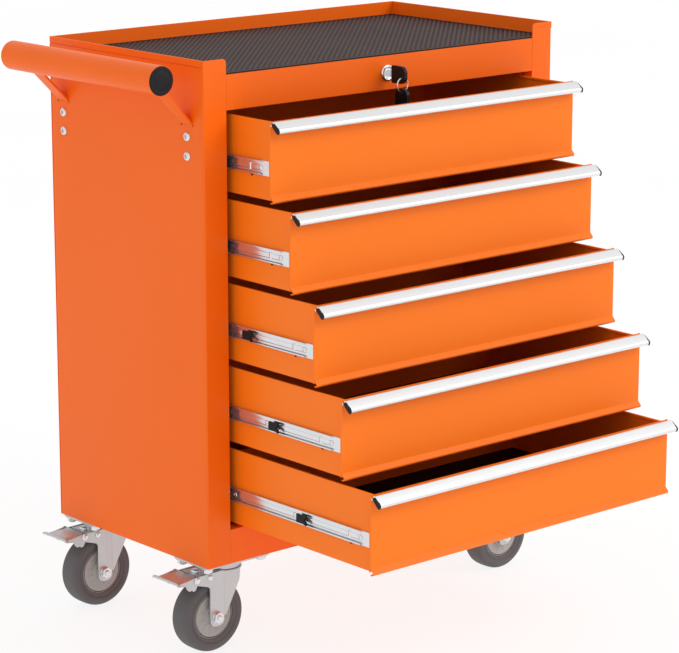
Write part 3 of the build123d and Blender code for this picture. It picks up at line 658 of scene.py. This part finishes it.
# -------------------------------------------------------------------- handle
class CART_OT_handle(bpy.types.Operator):
    """Finish the push handle with its caps, straps and screws"""

    bl_idname = "cart.handle"
    bl_label = "Push handle"

    def execute(self, context):
        dress("handle_tube", "cabinet_paint", 0.5 * MM)
        dress("handle_brackets", "cabinet_paint", 0.5 * MM)
        tube = middle("handle_tube")
        radius = (high("handle_tube").x - low("handle_tube").x) / 2
        caps = bmesh.new()
        for face, way in ((low("handle_end_caps").y, 1), (high("handle_end_caps").y, -1)):
            rim = about(radius, 0, [
                (-2.5, 12), (-2.2, 2.2), (-0.6, 1.9), (-0.5, 1.2), (-1, 0.5), (-2.2, 0.15), (-5, 0.05),
                (-5.6, 0.35), (-6.2, 0.05)])
            turned(rim + mm([(4, 0), (0, 0)]), (tube.x, face, tube.z), (0, way, 0), 64, caps)
        piece("handle_cap_discs", caps, "cap_plastic", "cabinet", ("handle_end_caps",), 50)
        heads = bmesh.new()
        lo, hi = low("handle_screws"), high("handle_screws")
        for y in (lo.y + 6.2 * MM, hi.y - 6.2 * MM):
            for z in (lo.z + 6.2 * MM, hi.z - 6.2 * MM):
                add_pan_head(heads, (LEFT, y, z), (-1, 0, 0), 6.0 * MM, 3.0 * MM)
                turned(mm([(3, 0), (3, -8), (0, -8)]), (LEFT, y, z), (-1, 0, 0), 24, heads)
                nut = mm([(0, -4.2), (5, -4.2), (5.2, -7.8), (0, -7.8)])
                turned(nut, (LEFT, y, z), (-1, 0, 0), 6, heads)
        piece("handle_pan_screws", heads, "bolt_zinc", "cabinet", ("handle_screws",), 40)
        return {"FINISHED"}


def add_pan_head(solid, origin, axis, radius, height):
    """A domed screw head with a sunk round drive and a washer rim."""
    profile = [
        (radius, 0), (radius, height * 0.25), (radius * 0.93, height * 0.6), (radius * 0.75, height * 0.86),
        (radius * 0.55, height), (radius * 0.46, height * 0.94), (radius * 0.4, height * 0.2), (0, height * 0.1)]
    turned(profile, origin, axis, 40, solid)
    return solid


# ---------------------------------------------------------------------- lock
class CART_OT_lock(bpy.types.Operator):
    """Make the lock face, plug, keys and ring, and finish the locking bar"""

    bl_idname = "cart.lock"
    bl_label = "Lock and keys"

    def execute(self, context):
        dress("lock_bar", "runner_zinc")
        dress("lock_plug", "lock_chrome", 0.1 * MM)
        dress("lock_housing", "lock_chrome", 0.2 * MM)
        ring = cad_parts["key_ring"]
        centre = middle("key_ring")
        wire = (high("key_ring").y - low("key_ring").y) / 2
        reach = (high("key_ring").x - low("key_ring").x) / 2 - wire
        coil = bmesh.new()
        section = []
        for step in range(13):
            angle = 2 * math.pi * step / 12
            section.append((reach + wire * math.cos(angle), wire * math.sin(angle)))
        section[-1] = section[0]
        turned(section, centre, (0, 1, 0), 72, coil)
        piece("key_ring_wire", coil, "bolt_zinc", "key_ring", (ring.name,), 60)
        core = Vector((MIDDLE, low("lock_housing").y, middle("lock_housing").z))
        add_key("door_key", "lock_core", Vector((MIDDLE, low("key").y, core.z)), Vector((0, 1, 0)), ("key",))
        hang = centre.z - reach
        add_key("spare_key", "key_ring", Vector((centre.x, centre.y, hang + 4.6 * MM)), Vector((0, 0, -1)), ())
        face_disc = mm([(7.2, -0.2), (7.6, 0.5), (8.6, 0.8), (10.2, 0.5), (11, -0.4), (11, -2.6),
            (7.2, -2.8), (7.2, -0.2)])
        collar = turned(face_disc, core, (0, -1, 0), 72)
        piece("lock_face_ring", collar, "lock_chrome", "cabinet", (), 50)
        return {"FINISHED"}


def add_key(name, body, tip, way, stands_for):
    """A flat key whose black grip starts at tip and whose blade runs along way."""
    grip_end = 26 * MM
    half_width = 11.5 * MM
    across = Vector((0, 0, 1)) if abs(way.y) > 0.5 else Vector((0, 1, 0))
    thick = Vector((1, 0, 0))

    def at(along, side, depth):
        return tip + way * along + across * side + thick * depth

    def plate(outline, depth):
        solid = bmesh.new()
        ends = []
        for side in (-depth, depth):
            ends.append([solid.verts.new(at(along, width, side)) for along, width in outline])
        for index in range(len(outline)):
            after = (index + 1) % len(outline)
            solid.faces.new((ends[0][index], ends[0][after], ends[1][after], ends[1][index]))
        for ring in ends:
            bmesh.ops.triangulate(solid, faces=[solid.faces.new(ring)], ngon_method="EAR_CLIP")
        return solid

    outline = loop_rounded(
        oblong(0, -half_width, grip_end, half_width), mm([9, 2.5, 2.5, 9]), 8)
    grip_piece = piece(name + "_grip", plate(outline, 2.4 * MM), "key_plastic", body, stands_for, 40)
    hole = bmesh.new()
    drop = -2.2 * MM if abs(way.y) > 0.5 else 0.0
    hole_at = 7 * MM if abs(way.y) > 0.5 else 4.6 * MM
    turned(mm([(2.4, -6), (2.4, 6)]), at(hole_at, drop, 0), (1, 0, 0), 24, hole)
    carve(grip_piece, hole)
    soften(grip_piece, 0.9 * MM, 3)
    cuts = about(grip_end, 0, [
        (-2, -3.9), (26, -3.9), (28, -1.5), (25, 2.6), (21, 1.4), (17, 3.2), (13, 1.8), (9, 3.6), (-2, 3.9)])
    blade_piece = piece(name + "_blade", plate(cuts, 1.0 * MM), "bolt_zinc", body, stands_for, 40)
    soften(blade_piece, 0.2 * MM)


# ------------------------------------------------------------------- drawers
class CART_OT_drawers(bpy.types.Operator):
    """Finish each drawer's box and front and lay its liner"""

    bl_idname = "cart.drawers"
    bl_label = "Drawers"

    def execute(self, context):
        sizes = context.scene.cart_sizes
        for drawer in DRAWERS:
            dress(f"{drawer}_box", "drawer_paint", sizes.edge)
            dress(f"{drawer}_front", "drawer_paint", sizes.edge)
            lo, hi = low(f"{drawer}_box"), high(f"{drawer}_box")
            floor = lo.z + SHEET
            outline = loop_rounded(oblong(lo.x + 2 * MM, lo.y + 2 * MM, hi.x - 2 * MM, hi.y - 14 * MM), 3 * MM)
            liner = piece(f"{drawer}_liner", slab(outline, "z", floor, floor + sizes.liner),
                          "mat_rubber", drawer)
            soften(liner, 0.4 * MM)
        return {"FINISHED"}


class CART_OT_pulls(bpy.types.Operator):
    """Draw each drawer's aluminium pull and close its ends with black caps"""

    bl_idname = "cart.pulls"
    bl_label = "Drawer pulls"

    def execute(self, context):
        for drawer in DRAWERS:
            node = f"{drawer}_pull"
            lo, hi = low(node), high(node)
            outline = rounded(
                about(hi.y, hi.z, [
                    (-0.2, -7), (-0.2, -4.4), (-3.8, -3.6), (-4.4, -0.6), (-6.8, -0.6), (-17.8, -9.8),
                    (-16.4, -15.6), (-12.6, -12.6), (-5.2, -5.6), (-1.8, -6.2), (-1.8, -7)]),
                mm([0.4, 0.6, 1.2, 2.4, 4, 1.6, 0.8, 0.8, 0.3]), 6)
            bar = piece(f"{drawer}_grip", slab(outline, "x", lo.x + 0.8 * MM, hi.x - 0.8 * MM),
                        "grip_aluminium", drawer, (node,), 25)
            soften(bar, 0.25 * MM, 2, 60)
            caps = bmesh.new()
            oval = loop_rounded(
                about(hi.y, hi.z, [(-4.6, 0), (-18.1, -9.4), (-16.8, -16.2), (-12.6, -13.4), (-3.8, -4.6)]),
                mm([3, 3.6, 1.8, 2, 2]), 6)
            slab(oval, "x", lo.x - 0.9 * MM, lo.x + 1.2 * MM, caps)
            slab(oval, "x", hi.x - 1.2 * MM, hi.x + 0.9 * MM, caps)
            plug = piece(f"{drawer}_pull_caps", caps, "cap_plastic", drawer)
            soften(plug, 0.7 * MM, 3)
        return {"FINISHED"}


# ------------------------------------------------------------------- runners
class CART_OT_runners(bpy.types.Operator):
    """Roll the drawer runners with their slots, screws and catches"""

    bl_idname = "cart.runners"
    bl_label = "Drawer runners"

    def execute(self, context):
        dress("outer_runners", "runner_zinc", 0.3 * MM)
        for drawer in DRAWERS:
            mid, inner = f"{drawer}_mid_runners", f"{drawer}_inner_runners"
            self.middle_member(drawer, mid)
            self.inner_member(drawer, inner)
        return {"FINISHED"}

    def middle_member(self, drawer, node):
        """C-section with slots, a bent front tab and a black release catch."""
        lo, hi = low(node), high(node)
        face = lo.y - 2 * MM
        z = middle(node).z
        steel, catch, cutter = bmesh.new(), bmesh.new(), bmesh.new()
        for edge, way in ((lo.x, 1), (hi.x, -1)):
            web = edge + way * 1.8 * MM
            path = rounded(
                about(edge, z, [
                    (4.4, -8.6), (4.4, -11.4), (0.6, -11.4), (0.6, -8.2), (1.8, -6.6), (1.8, 6.6), (0.6, 8.2),
                    (0.6, 11.4), (4.4, 11.4), (4.4, 8.6)], way), 0.8 * MM, 3)
            slab(sheet_outline(path, 1.1 * MM), "y", face + 14 * MM, hi.y, steel)
            slab(about(face, z, oblong(14, -6, 17, 6)), "x", web - 0.5 * MM, web + 0.5 * MM, steel)
            for start, flip in ((face + 26 * MM, 1), (face + 37 * MM, -1)):
                foot = z - 1.2 * MM * flip
                for run, rise in ((6, 1.4), (2, 4.6)):
                    bottom, top = sorted((foot, z + rise * MM * flip))
                    cuboid((web - 3 * MM, start, bottom), (web + 3 * MM, start + run * MM, top), cutter)
            horn = loop_rounded(
                about(face, z, [
                    (23, -5.6), (23, 5.6), (10, 5.6), (3.8, 7.5), (5, 2.6), (8, 1.6), (8, -1.6), (5, -2.6),
                    (3.8, -7.5), (10, -5.6)]), 0.8 * MM, 3)
            band(horn, "x", web, way, -1.3 * MM, 1.2 * MM, catch)
        metal = piece(f"{drawer}_mid_members", steel, "runner_zinc", f"{drawer}_mid", (node,), 25)
        carve(metal, cutter)
        release = piece(f"{drawer}_catches", catch, "cap_plastic", f"{drawer}_mid", (node,))
        soften(release, 0.4 * MM)

    def inner_member(self, drawer, node):
        """Slim C-section with a keyhole slot and fixing screws."""
        lo, hi = low(node), high(node)
        z = middle(node).z
        steel, screws, cutter = bmesh.new(), bmesh.new(), bmesh.new()
        front = lo.y
        for edge, way in ((lo.x, 1), (hi.x, -1)):
            web = edge + way * 3.3 * MM
            path = rounded(
                about(edge, z, [
                    (0.6, -7.4), (0.6, -9), (3.3, -9), (3.3, -3.5), (2.7, -2.5), (2.7, 2.5), (3.3, 3.5), (3.3, 9),
                    (0.6, 9), (0.6, 7.4)], way), 0.7 * MM, 3)
            slab(sheet_outline(path, 1.1 * MM), "y", front + 16 * MM, hi.y, steel)
            tab = about(front, z, [(0, -9.4), (17, -9.4), (17, 9.4), (0, 9.4)])
            band(loop_rounded(tab, mm([1.5, 0, 0, 1.5])), "x", web, way, -0.5 * MM, 0.6 * MM, steel)
            slot = about(front, z, [(36, -4.4), (40, -4.4), (40, 4.4), (36, 4.4)])
            slab(loop_rounded(slot, 1.0 * MM, 3), "x", web - 3 * MM, web + 3 * MM, cutter)
            lance = about(web, front, [(-0.4, 36.2), (-2.2, 37.4), (-2, 38.4), (0.2, 37.2)], way)
            slab(lance, "z", z - 4.2 * MM, z + 4.2 * MM, screws)
            for start in mm([18, 142, 262]):
                add_pan_head(screws, (web - way * 0.5 * MM, front + start, z), (-way, 0, 0), 3.8 * MM, 1.4 * MM)
        # Thin black plates on the drawer sides are painted shade standing in for the dark openings of the hook
        # slots.
        slot_shade_patches = bmesh.new()
        for edge, way in ((low(f"{drawer}_box").x, -1), (high(f"{drawer}_box").x, 1)):
            hook = about(front, z, [(34, -9), (38.6, -9), (38, -12.6), (35, -12.6)])
            band(loop_rounded(hook, 0.6 * MM, 3), "x", edge, way, 0, 0.3 * MM, slot_shade_patches)
        piece(f"{drawer}_hook_slot_shade", slot_shade_patches, "key_plastic", drawer)
        metal = piece(f"{drawer}_inner_members", steel, "runner_zinc", drawer, (node,), 25)
        carve(metal, cutter)
        piece(f"{drawer}_runner_screws", screws, "bolt_zinc", drawer, (node,), 40)


# ------------------------------------------------------------------- casters
class CART_OT_wheels(bpy.types.Operator):
    """Turn the four tyres and wheel centres"""

    bl_idname = "cart.wheels"
    bl_label = "Wheels"

    def execute(self, context):
        steps = context.scene.cart_sizes.wheel_steps
        for row in ROWS:
            for side in ("left", "right"):
                name = f"{row}_{side}"
                centre = middle(f"{name}_tyre")
                half = (high(f"{name}_tyre").y - low(f"{name}_tyre").y) / 2
                outer = (high(f"{name}_tyre").z - low(f"{name}_tyre").z) / 2
                self.tyre(name, centre, outer, half, steps)
                self.hub(name, centre, steps)
        return {"FINISHED"}

    def tyre(self, name, centre, outer, half, steps):
        """Crowned tread with rounded shoulders and two side steps."""
        side = about(31.5 * MM, half, [
            (0, -2.6), (0.4, -1.8), (4.2, -1.2), (4.8, -1.6), (5.6, -1.5), (6.4, -0.5), (8, -0.05)])
        shoulder, radius = outer - 7.5 * MM, 7.1 * MM
        side.append((shoulder, half))
        for step in range(1, 9):
            angle = math.pi / 2 * step / 8
            side.append((shoulder + radius * math.sin(angle), half - radius * (1 - math.cos(angle))))
        side.append((outer - 0.1 * MM, half * 0.3))
        side.append((outer, 0))
        other = [(radius, -along) for radius, along in side[-2::-1]]
        solid = turned(side + other + [side[0]], centre, (0, 1, 0), steps)
        piece(f"{name}_tread", solid, "tyre_grey", f"{name}_wheel", (f"{name}_tyre",), 40)

    def hub(self, name, centre, steps):
        """Dished disc inside a dark gap, a rim and a bearing boss."""
        solid = bmesh.new()
        side = mm([
            (31.4, 10), (31.4, 12.8), (30.4, 13.2), (30.2, 9.5), (29.2, 9.5), (29, 12.6), (28.4, 13.3),
            (27, 13.5), (24, 13.1), (16, 12.6), (14.5, 12.9), (13.8, 14.6), (12.8, 15.4), (11, 15.6),
            (10.6, 17.4), (9.8, 17.8), (4.1, 17.8)])
        other = [(radius, -along) for radius, along in side[::-1]]
        turned(side + other + [side[0]], centre, (0, 1, 0), steps, solid)
        for spoke in range(12):
            angle = math.radians(30 * spoke + 11)
            for way in (-1, 1):
                add_spoke(solid, centre, angle, way)
        piece(f"{name}_wheel_centre", solid, "hub_grey", f"{name}_wheel", (f"{name}_hub",), 30)


def add_spoke(solid, centre, angle, way):
    """A low moulded rib on the wheel centre's disc."""
    along = Vector((math.cos(angle), 0, math.sin(angle)))
    across = Vector((-math.sin(angle), 0, math.cos(angle)))
    out = Vector((0, way, 0))
    corners = []
    for reach, rise in mm([(14, 12.5), (28, 12.9)]):
        for side, height in ((-0.9, 0.0), (-0.45, 0.55), (0.45, 0.55), (0.9, 0.0)):
            spot = centre + along * reach + across * side * MM + out * (rise + height * MM)
            corners.append(solid.verts.new(spot))
    for index in range(3):
        solid.faces.new((corners[index], corners[index + 1], corners[index + 5], corners[index + 4]))
    solid.faces.new(corners[:4])
    solid.faces.new(corners[4:])
    solid.faces.new((corners[0], corners[3], corners[7], corners[4]))


class CART_OT_forks(bpy.types.Operator):
    """Press the caster forks and finish their plates"""

    bl_idname = "cart.forks"
    bl_label = "Caster forks"

    def execute(self, context):
        for row in ROWS:
            self.swivel_fork(row)
            self.rigid_fork(row)
        dress("swivel_plates", "caster_zinc", 0.5 * MM)
        return {"FINISHED"}

    def swivel_fork(self, row):
        """Two bent legs under a domed head, with rivets at the brake."""
        node = f"{row}_left_fork"
        body = f"{row}_left_swivel"
        axle = middle(f"{row}_left_tyre")
        head = Vector((axle.x + TRAIL, axle.y, high(node).z))
        pivot = brake_pivot(row)
        crease = axle.x + 12.3 * MM
        outline = loop_rounded(
            about(pivot.x, pivot.z, [(-5.2, -5.5), (-5.2, 3), (3, 3.6)])
            + about(axle.x, head.z, [(-2, -0.4), (12.3, 0)])
            + about(axle.x, axle.z, [(12.3, -12.5), (-11, -12.5)])
            + [(axle.x - 11 * MM, head.z - 19 * MM), (pivot.x + 4 * MM, pivot.z - 8.4 * MM)],
            mm([3, 4, 2, 1, 0, 8, 9, 6, 4]))
        wing = loop_rounded(
            about(axle.x, head.z, [(13.8, 0), (44, 0), (42, -20)])
            + about(axle.x, axle.z, [(33, 27), (15.3, -3), (13.8, 0)]),
            mm([0, 3, 8, 14, 2, 0]))
        legs = bmesh.new()
        for way in (-1, 1):
            band(outline, "y", axle.y, way, 18.6 * MM, 20.9 * MM, legs)
            band(wing, "y", axle.y, way, 16.9 * MM, 19.1 * MM, legs)
            joggle = about(crease, axle.y, [
                (-0.8, way * 20.4), (0.4, way * 20.2), (2.4, way * 18.7), (2.4, way * 17.1), (-0.8, way * 18.7)])
            slab(joggle, "z", axle.z - 1.5 * MM, head.z - 0.4 * MM, legs)
        for vert in legs.verts:
            beyond = vert.co.x - crease - 2.5 * MM
            if beyond > 0:
                vert.co.y -= math.copysign(beyond * 0.1, vert.co.y - axle.y)
        soften(piece(f"{node}_legs", legs, "caster_zinc", body, (node,), 14), 0.6 * MM, 3, 50)
        crown = bmesh.new()
        race = mm([(5.2, -3), (24, -3), (26, -2.4), (26.2, -1.2), (25.4, -0.1), (5.2, -0.1), (5.2, -3)])
        turned(race, head, (0, 0, 1), 72, crown)
        bridge = loop_rounded(
            oblong(pivot.x + 6.2 * MM, axle.y - 19 * MM, head.x + 8 * MM, axle.y + 19 * MM), mm([5, 0, 0, 5]))
        bridge_piece = slab(bridge, "z", head.z - 3.6 * MM, head.z - 1.4 * MM, crown)
        soften(piece(f"{node}_crown", bridge_piece, "caster_zinc", body, (node,), 40), 0.5 * MM)
        rivets = bmesh.new()
        pin = mm([(5, 0), (5, 1.2), (4.2, 2.4), (2.4, 3.1), (0, 3.3)])
        dome = mm([(4.4, -0.2), (4.4, 0.7), (3.6, 1.8), (2, 2.4), (0, 2.6)])
        for way in (-1, 1):
            turned(pin, (pivot.x, axle.y + way * 23.3 * MM, pivot.z), (0, way, 0), 32, rivets)
            low_rivet = (axle.x - 10.6 * MM, axle.y + way * 20.9 * MM, pivot.z - 1.6 * MM)
            turned(dome, low_rivet, (0, way, 0), 32, rivets)
        turned(mm([(0, -24), (2.4, -24), (2.4, 24), (0, 24)]), pivot, (0, 1, 0), 24, rivets)
        nut = mm([(8.4, 0), (8.4, 0.8), (7.2, 1.2), (7, 2.2), (5.2, 2.6), (5.1, 5), (4.2, 6), (0, 6.2)])
        turned(nut, (axle.x - 20 * MM, axle.y, head.z - 3.4 * MM), (0, 0, 1), 40, rivets)
        piece(f"{node}_rivets", rivets, "bolt_zinc", body, (node,), 50)
        axle_bolt(f"{row}_left_axle", axle, body, (f"{row}_left_axle",))

    def rigid_fork(self, row):
        """A pressed plate with two straight tapering legs."""
        axle = middle(f"{row}_right_tyre")
        plate = high("rigid_forks").z
        solid = bmesh.new()
        outline = loop_rounded(
            about(axle.x, plate, [(-36, -2.8), (36, -2.8), (33, -14)])
            + about(axle.x, axle.z, [(12.5, 2), (9, -12.5), (-9, -12.5), (-12.5, 2)])
            + [(axle.x - 33 * MM, plate - 14 * MM)],
            mm([0, 0, 8, 12, 6, 6, 12, 8]))
        for way in (-1, 1):
            band(outline, "y", axle.y, way, 18.6 * MM, 20.9 * MM, solid)
        legs = piece(f"{row}_rigid_fork_legs", solid, "caster_zinc", "cabinet", ("rigid_forks",), 30)
        soften(legs, 0.7 * MM, 3)
        base = bmesh.new()
        corners = about(axle.x, axle.y, oblong(-53, -37, 53, 37))
        slab(loop_rounded(corners, 6 * MM), "z", plate - 3 * MM, plate, base)
        pad = piece(f"{row}_rigid_fork_plate", base, "caster_zinc", "cabinet", ("rigid_forks",), 30)
        soften(pad, 0.5 * MM)
        axle_bolt(f"{row}_rigid_axle", axle, "cabinet", ("caster_bolts",))


def axle_bolt(name, axle, body, stands_for):
    """Hexagon head, washer, shaft and nut of a wheel bolt."""
    solid = bmesh.new()
    turned(mm([(0, 25), (4, 25), (4, -25), (0, -25)]), axle, (0, 1, 0), 32, solid)
    seat = 20.9 * MM
    washer = about(0, seat, [(8.2, 0), (8.2, 0.9), (7.8, 1.2), (0, 1.2)])
    nut = hexagon((axle.x, axle.z), 14 * MM, 0.3)
    for way in (-1, 1):
        turned(washer, axle, (0, way, 0), 40, solid)
        band(nut, "y", axle.y, way, seat + 1.2 * MM, seat + 5.6 * MM, solid)
    thread = about(0, seat, [(3.9, 5), (3.9, 7.4), (3.2, 8.2), (0, 8.3)])
    turned(thread, axle, (0, -1, 0), 32, solid)
    soften(piece(f"{name}_bolt", solid, "bolt_zinc", body, stands_for, 30), 0.5 * MM)


def brake_pivot(row):
    """Where a brake pedal turns on its fork."""
    axle = middle(f"{row}_left_tyre")
    return Vector((axle.x - PIVOT_REACH, axle.y, high(f"{row}_left_fork").z - PIVOT_DROP))


class CART_OT_brakes(bpy.types.Operator):
    """Press the two brake pedals"""

    bl_idname = "cart.brakes"
    bl_label = "Brake pedals"

    def execute(self, context):
        for row in ROWS:
            pivot = brake_pivot(row)
            node = f"{row}_left_brake_pedal"
            body = f"{row}_left_brake"
            tread = piece(f"{node}_plate", self.tread(pivot), "caster_zinc", body, (node,), 40)
            shell = tread.modifiers.new("sheet", "SOLIDIFY")
            shell.thickness = 1.9 * MM
            shell.offset = -1
            soften(tread, 0.4 * MM, 2, 50)
            cheek = loop_rounded(
                about(pivot.x, pivot.z, [
                    (6.2, 3.4), (5.4, -5.4), (0.6, -7.2), (-2.6, -12.6), (-6.4, -13.6), (-8.4, -10.8),
                    (-11.8, -12.4), (-15.4, -9.6), (-17.6, -4.2), (-24, -3.2), (-29, -1.6), (-27, 1.2),
                    (-17, 2.2), (-5, 4.2)]),
                mm([5, 3, 2, 1.5, 1.5, 1.2, 1.6, 2, 1, 3, 1.2, 1.2, 4, 4]), 3)
            sides = bmesh.new()
            for way in (-1, 1):
                band(cheek, "y", pivot.y, way, 21.4 * MM, 23.2 * MM, sides)
            soften(piece(f"{node}_cheeks", sides, "caster_zinc", body, (node,), 30), 0.5 * MM, 2)
            barrel = turned(
                mm([(4.2, -17.6), (4.2, 17.6), (2.6, 17.6), (2.6, -17.6), (4.2, -17.6)]), pivot, (0, 1, 0), 32)
            piece(f"{node}_barrel", barrel, "caster_zinc", body, (node,), 40)
        return {"FINISHED"}

    def tread(self, pivot):
        """The pedal's foot plate as one skin: edges turned down, a flared and rolled tip."""
        profile = rounded(
            mm([(2, 4.1), (-16, 4), (-28.4, 2.4), (-33.4, 4.6), (-35.4, 2.4), (-33.8, 0.4), (-31.6, 0.9)]),
            mm([20, 5, 1.6, 1.5, 1]), 6)
        solid = bmesh.new()
        rows = []
        for spot in profile:
            reach = -spot.x / MM
            half = 18
            if reach > 8:
                half = 23.1 + 3.4 * min(max((reach - 25) / 6, 0), 1) ** 2
            sag = 5.2 * min(max((reach - 8) / 8, 0), 1) * min(max((35 - reach) / 9, 0.22), 1)
            ring = []
            for step in range(-12, 13):
                share = step / 12
                drop = sag * abs(share) ** 9 * MM
                corner = (pivot.x + spot.x, pivot.y + share * half * MM, pivot.z + spot.y - drop)
                ring.append(solid.verts.new(corner))
            rows.append(ring)
        for first, second in zip(rows, rows[1:]):
            for corners in zip(first, first[1:], second[1:], second):
                solid.faces.new(corners)
        return solid


class CART_OT_bolts(bpy.types.Operator):
    """Fit the sixteen plate bolts with washers and nuts"""

    bl_idname = "cart.bolts"
    bl_label = "Plate bolts"

    def execute(self, context):
        solid = bmesh.new()
        for row in ROWS:
            rigid = middle(f"{row}_right_tyre")
            swivel = middle(f"{row}_left_tyre")
            for x in (swivel.x + 25.5 * MM, rigid.x):
                for dx in (-45 * MM, 45 * MM):
                    for dy in (-26 * MM, 26 * MM):
                        self.bolt(solid, Vector((x + dx, rigid.y + dy, BASE)))
        bolts = piece("plate_bolts_and_nuts", solid, "bolt_zinc", "cabinet", ("caster_bolts",), 30)
        soften(bolts, 0.45 * MM)
        return {"FINISHED"}

    def bolt(self, solid, seat):
        """A bolt through the bottom pan with its nut below the plate."""
        turned(mm([(0, -11), (3.4, -11), (3.9, -10.4), (3.9, 1.5)]), seat, (0, 0, 1), 24, solid)
        dome = mm([(8, 1.5), (7.8, 3), (5.5, 4.6), (0, 5)])
        turned(dome, seat, (0, 0, 1), 40, solid)
        washer = mm([(8.4, -3), (8.4, -4.2), (4, -4.2)])
        turned(washer, seat, (0, 0, 1), 40, solid)
        slab(hexagon((seat.x, seat.y), 12.6 * MM, 0.3), "z", seat.z - 9.2 * MM, seat.z - 4.2 * MM, solid)


# --------------------------------------------------------------------- stage
class CART_OT_stage(bpy.types.Operator):
    """Set the floor, the lights and the camera"""

    bl_idname = "cart.stage"
    bl_label = "Stage"

    def execute(self, context):
        stage = context.scene.cart_stage
        self.floor()
        self.lights(stage)
        self.camera(stage)
        return {"FINISHED"}

    def floor(self):
        """A wide pale floor."""
        solid = bmesh.new()
        bmesh.ops.create_grid(solid, x_segments=8, y_segments=8, size=30)
        mesh = bpy.data.meshes.new("floor")
        solid.to_mesh(mesh)
        solid.free()
        finish = Finish("pale_floor", Roughness=0.9, Specular_IOR_Level=0.1, Emission_Strength=0.86)
        cloud = finish.noise(0.8, 2)
        finish.feed(Base_Color=finish.blend(cloud, (0.16, 0.16, 0.16), (0.14, 0.14, 0.14)))
        finish.feed(Emission_Color=finish.blend(cloud, (1, 1, 1), (0.97, 0.97, 0.97)))
        mesh.materials.append(finish.material)
        to_object("floor", mesh)

    def lights(self, stage):
        """An even white sky, a broad key from the front right and a soft fill from the left."""
        scene = bpy.context.scene
        scene.view_settings.view_transform = "Standard"
        world = scene.world or bpy.data.worlds.new("studio")
        scene.world = world
        world.use_nodes = True
        sky = world.node_tree.nodes["Background"]
        sky.inputs["Color"].default_value = (1, 1, 1, 1)
        sky.inputs["Strength"].default_value = stage.sky
        for name, place, size, power in (
                ("key", (2.2, -3.4, 3.2), 2.4, stage.key), ("fill", (-3.6, -0.6, 2.2), 2.2, stage.fill)):
            lamp = bpy.data.lights.new(name, "AREA")
            lamp.size = size
            lamp.energy = power
            light = to_object(name, lamp)
            light.location = place
            aim = Vector((0, 0, 0.4)) - Vector(place)
            light.rotation_euler = aim.to_track_quat("-Z", "Y").to_euler()

    def camera(self, stage):
        """A long lens looking down a little from the front left."""
        turn, tilt = math.radians(stage.azimuth), math.radians(stage.elevation)
        ahead = Vector((math.sin(turn) * math.cos(tilt), math.cos(turn) * math.cos(tilt), -math.sin(tilt)))
        lens = bpy.data.cameras.new("view")
        lens.lens = stage.lens
        lens.sensor_width = 36
        lens.clip_end = 100
        eye = to_object("view", lens)
        eye.location = (-2.3642, -2.6716, 1.2503)
        eye.rotation_mode = "QUATERNION"
        eye.rotation_quaternion = ahead.to_track_quat("-Z", "Y")
        bpy.context.scene.camera = eye


STEPS = (
    CART_OT_cabinet, CART_OT_top_mat, CART_OT_handle, CART_OT_lock, CART_OT_drawers, CART_OT_pulls,
    CART_OT_runners, CART_OT_wheels, CART_OT_forks, CART_OT_brakes, CART_OT_bolts, CART_OT_stage)


class CART_PT_panel(bpy.types.Panel):
    """Build steps and settings of the tool cart"""

    bl_idname = "CART_PT_panel"
    bl_label = "Tool cart"
    bl_space_type = "VIEW_3D"
    bl_region_type = "UI"
    bl_category = "Tool cart"

    def draw(self, context):
        for step in STEPS:
            self.layout.operator(step.bl_idname)
        for group in (context.scene.cart_paint, context.scene.cart_sizes, context.scene.cart_stage):
            box = self.layout.box()
            for setting in group.__annotations__:
                box.prop(group, setting)


CLASSES = (CartPaint, CartSizes, CartStage, *STEPS, CART_PT_panel)


def register():
    for item in CLASSES:
        bpy.utils.register_class(item)
    bpy.types.Scene.cart_paint = PointerProperty(type=CartPaint)
    bpy.types.Scene.cart_sizes = PointerProperty(type=CartSizes)
    bpy.types.Scene.cart_stage = PointerProperty(type=CartStage)


def unregister():
    del bpy.types.Scene.cart_stage
    del bpy.types.Scene.cart_sizes
    del bpy.types.Scene.cart_paint
    for item in reversed(CLASSES):
        bpy.utils.unregister_class(item)


def main():
    """Build everything in order."""
    register()
    for step in STEPS:
        section, name = step.bl_idname.split(".")
        getattr(getattr(bpy.ops, section), name)()


if __name__ == "__main__":
    main()
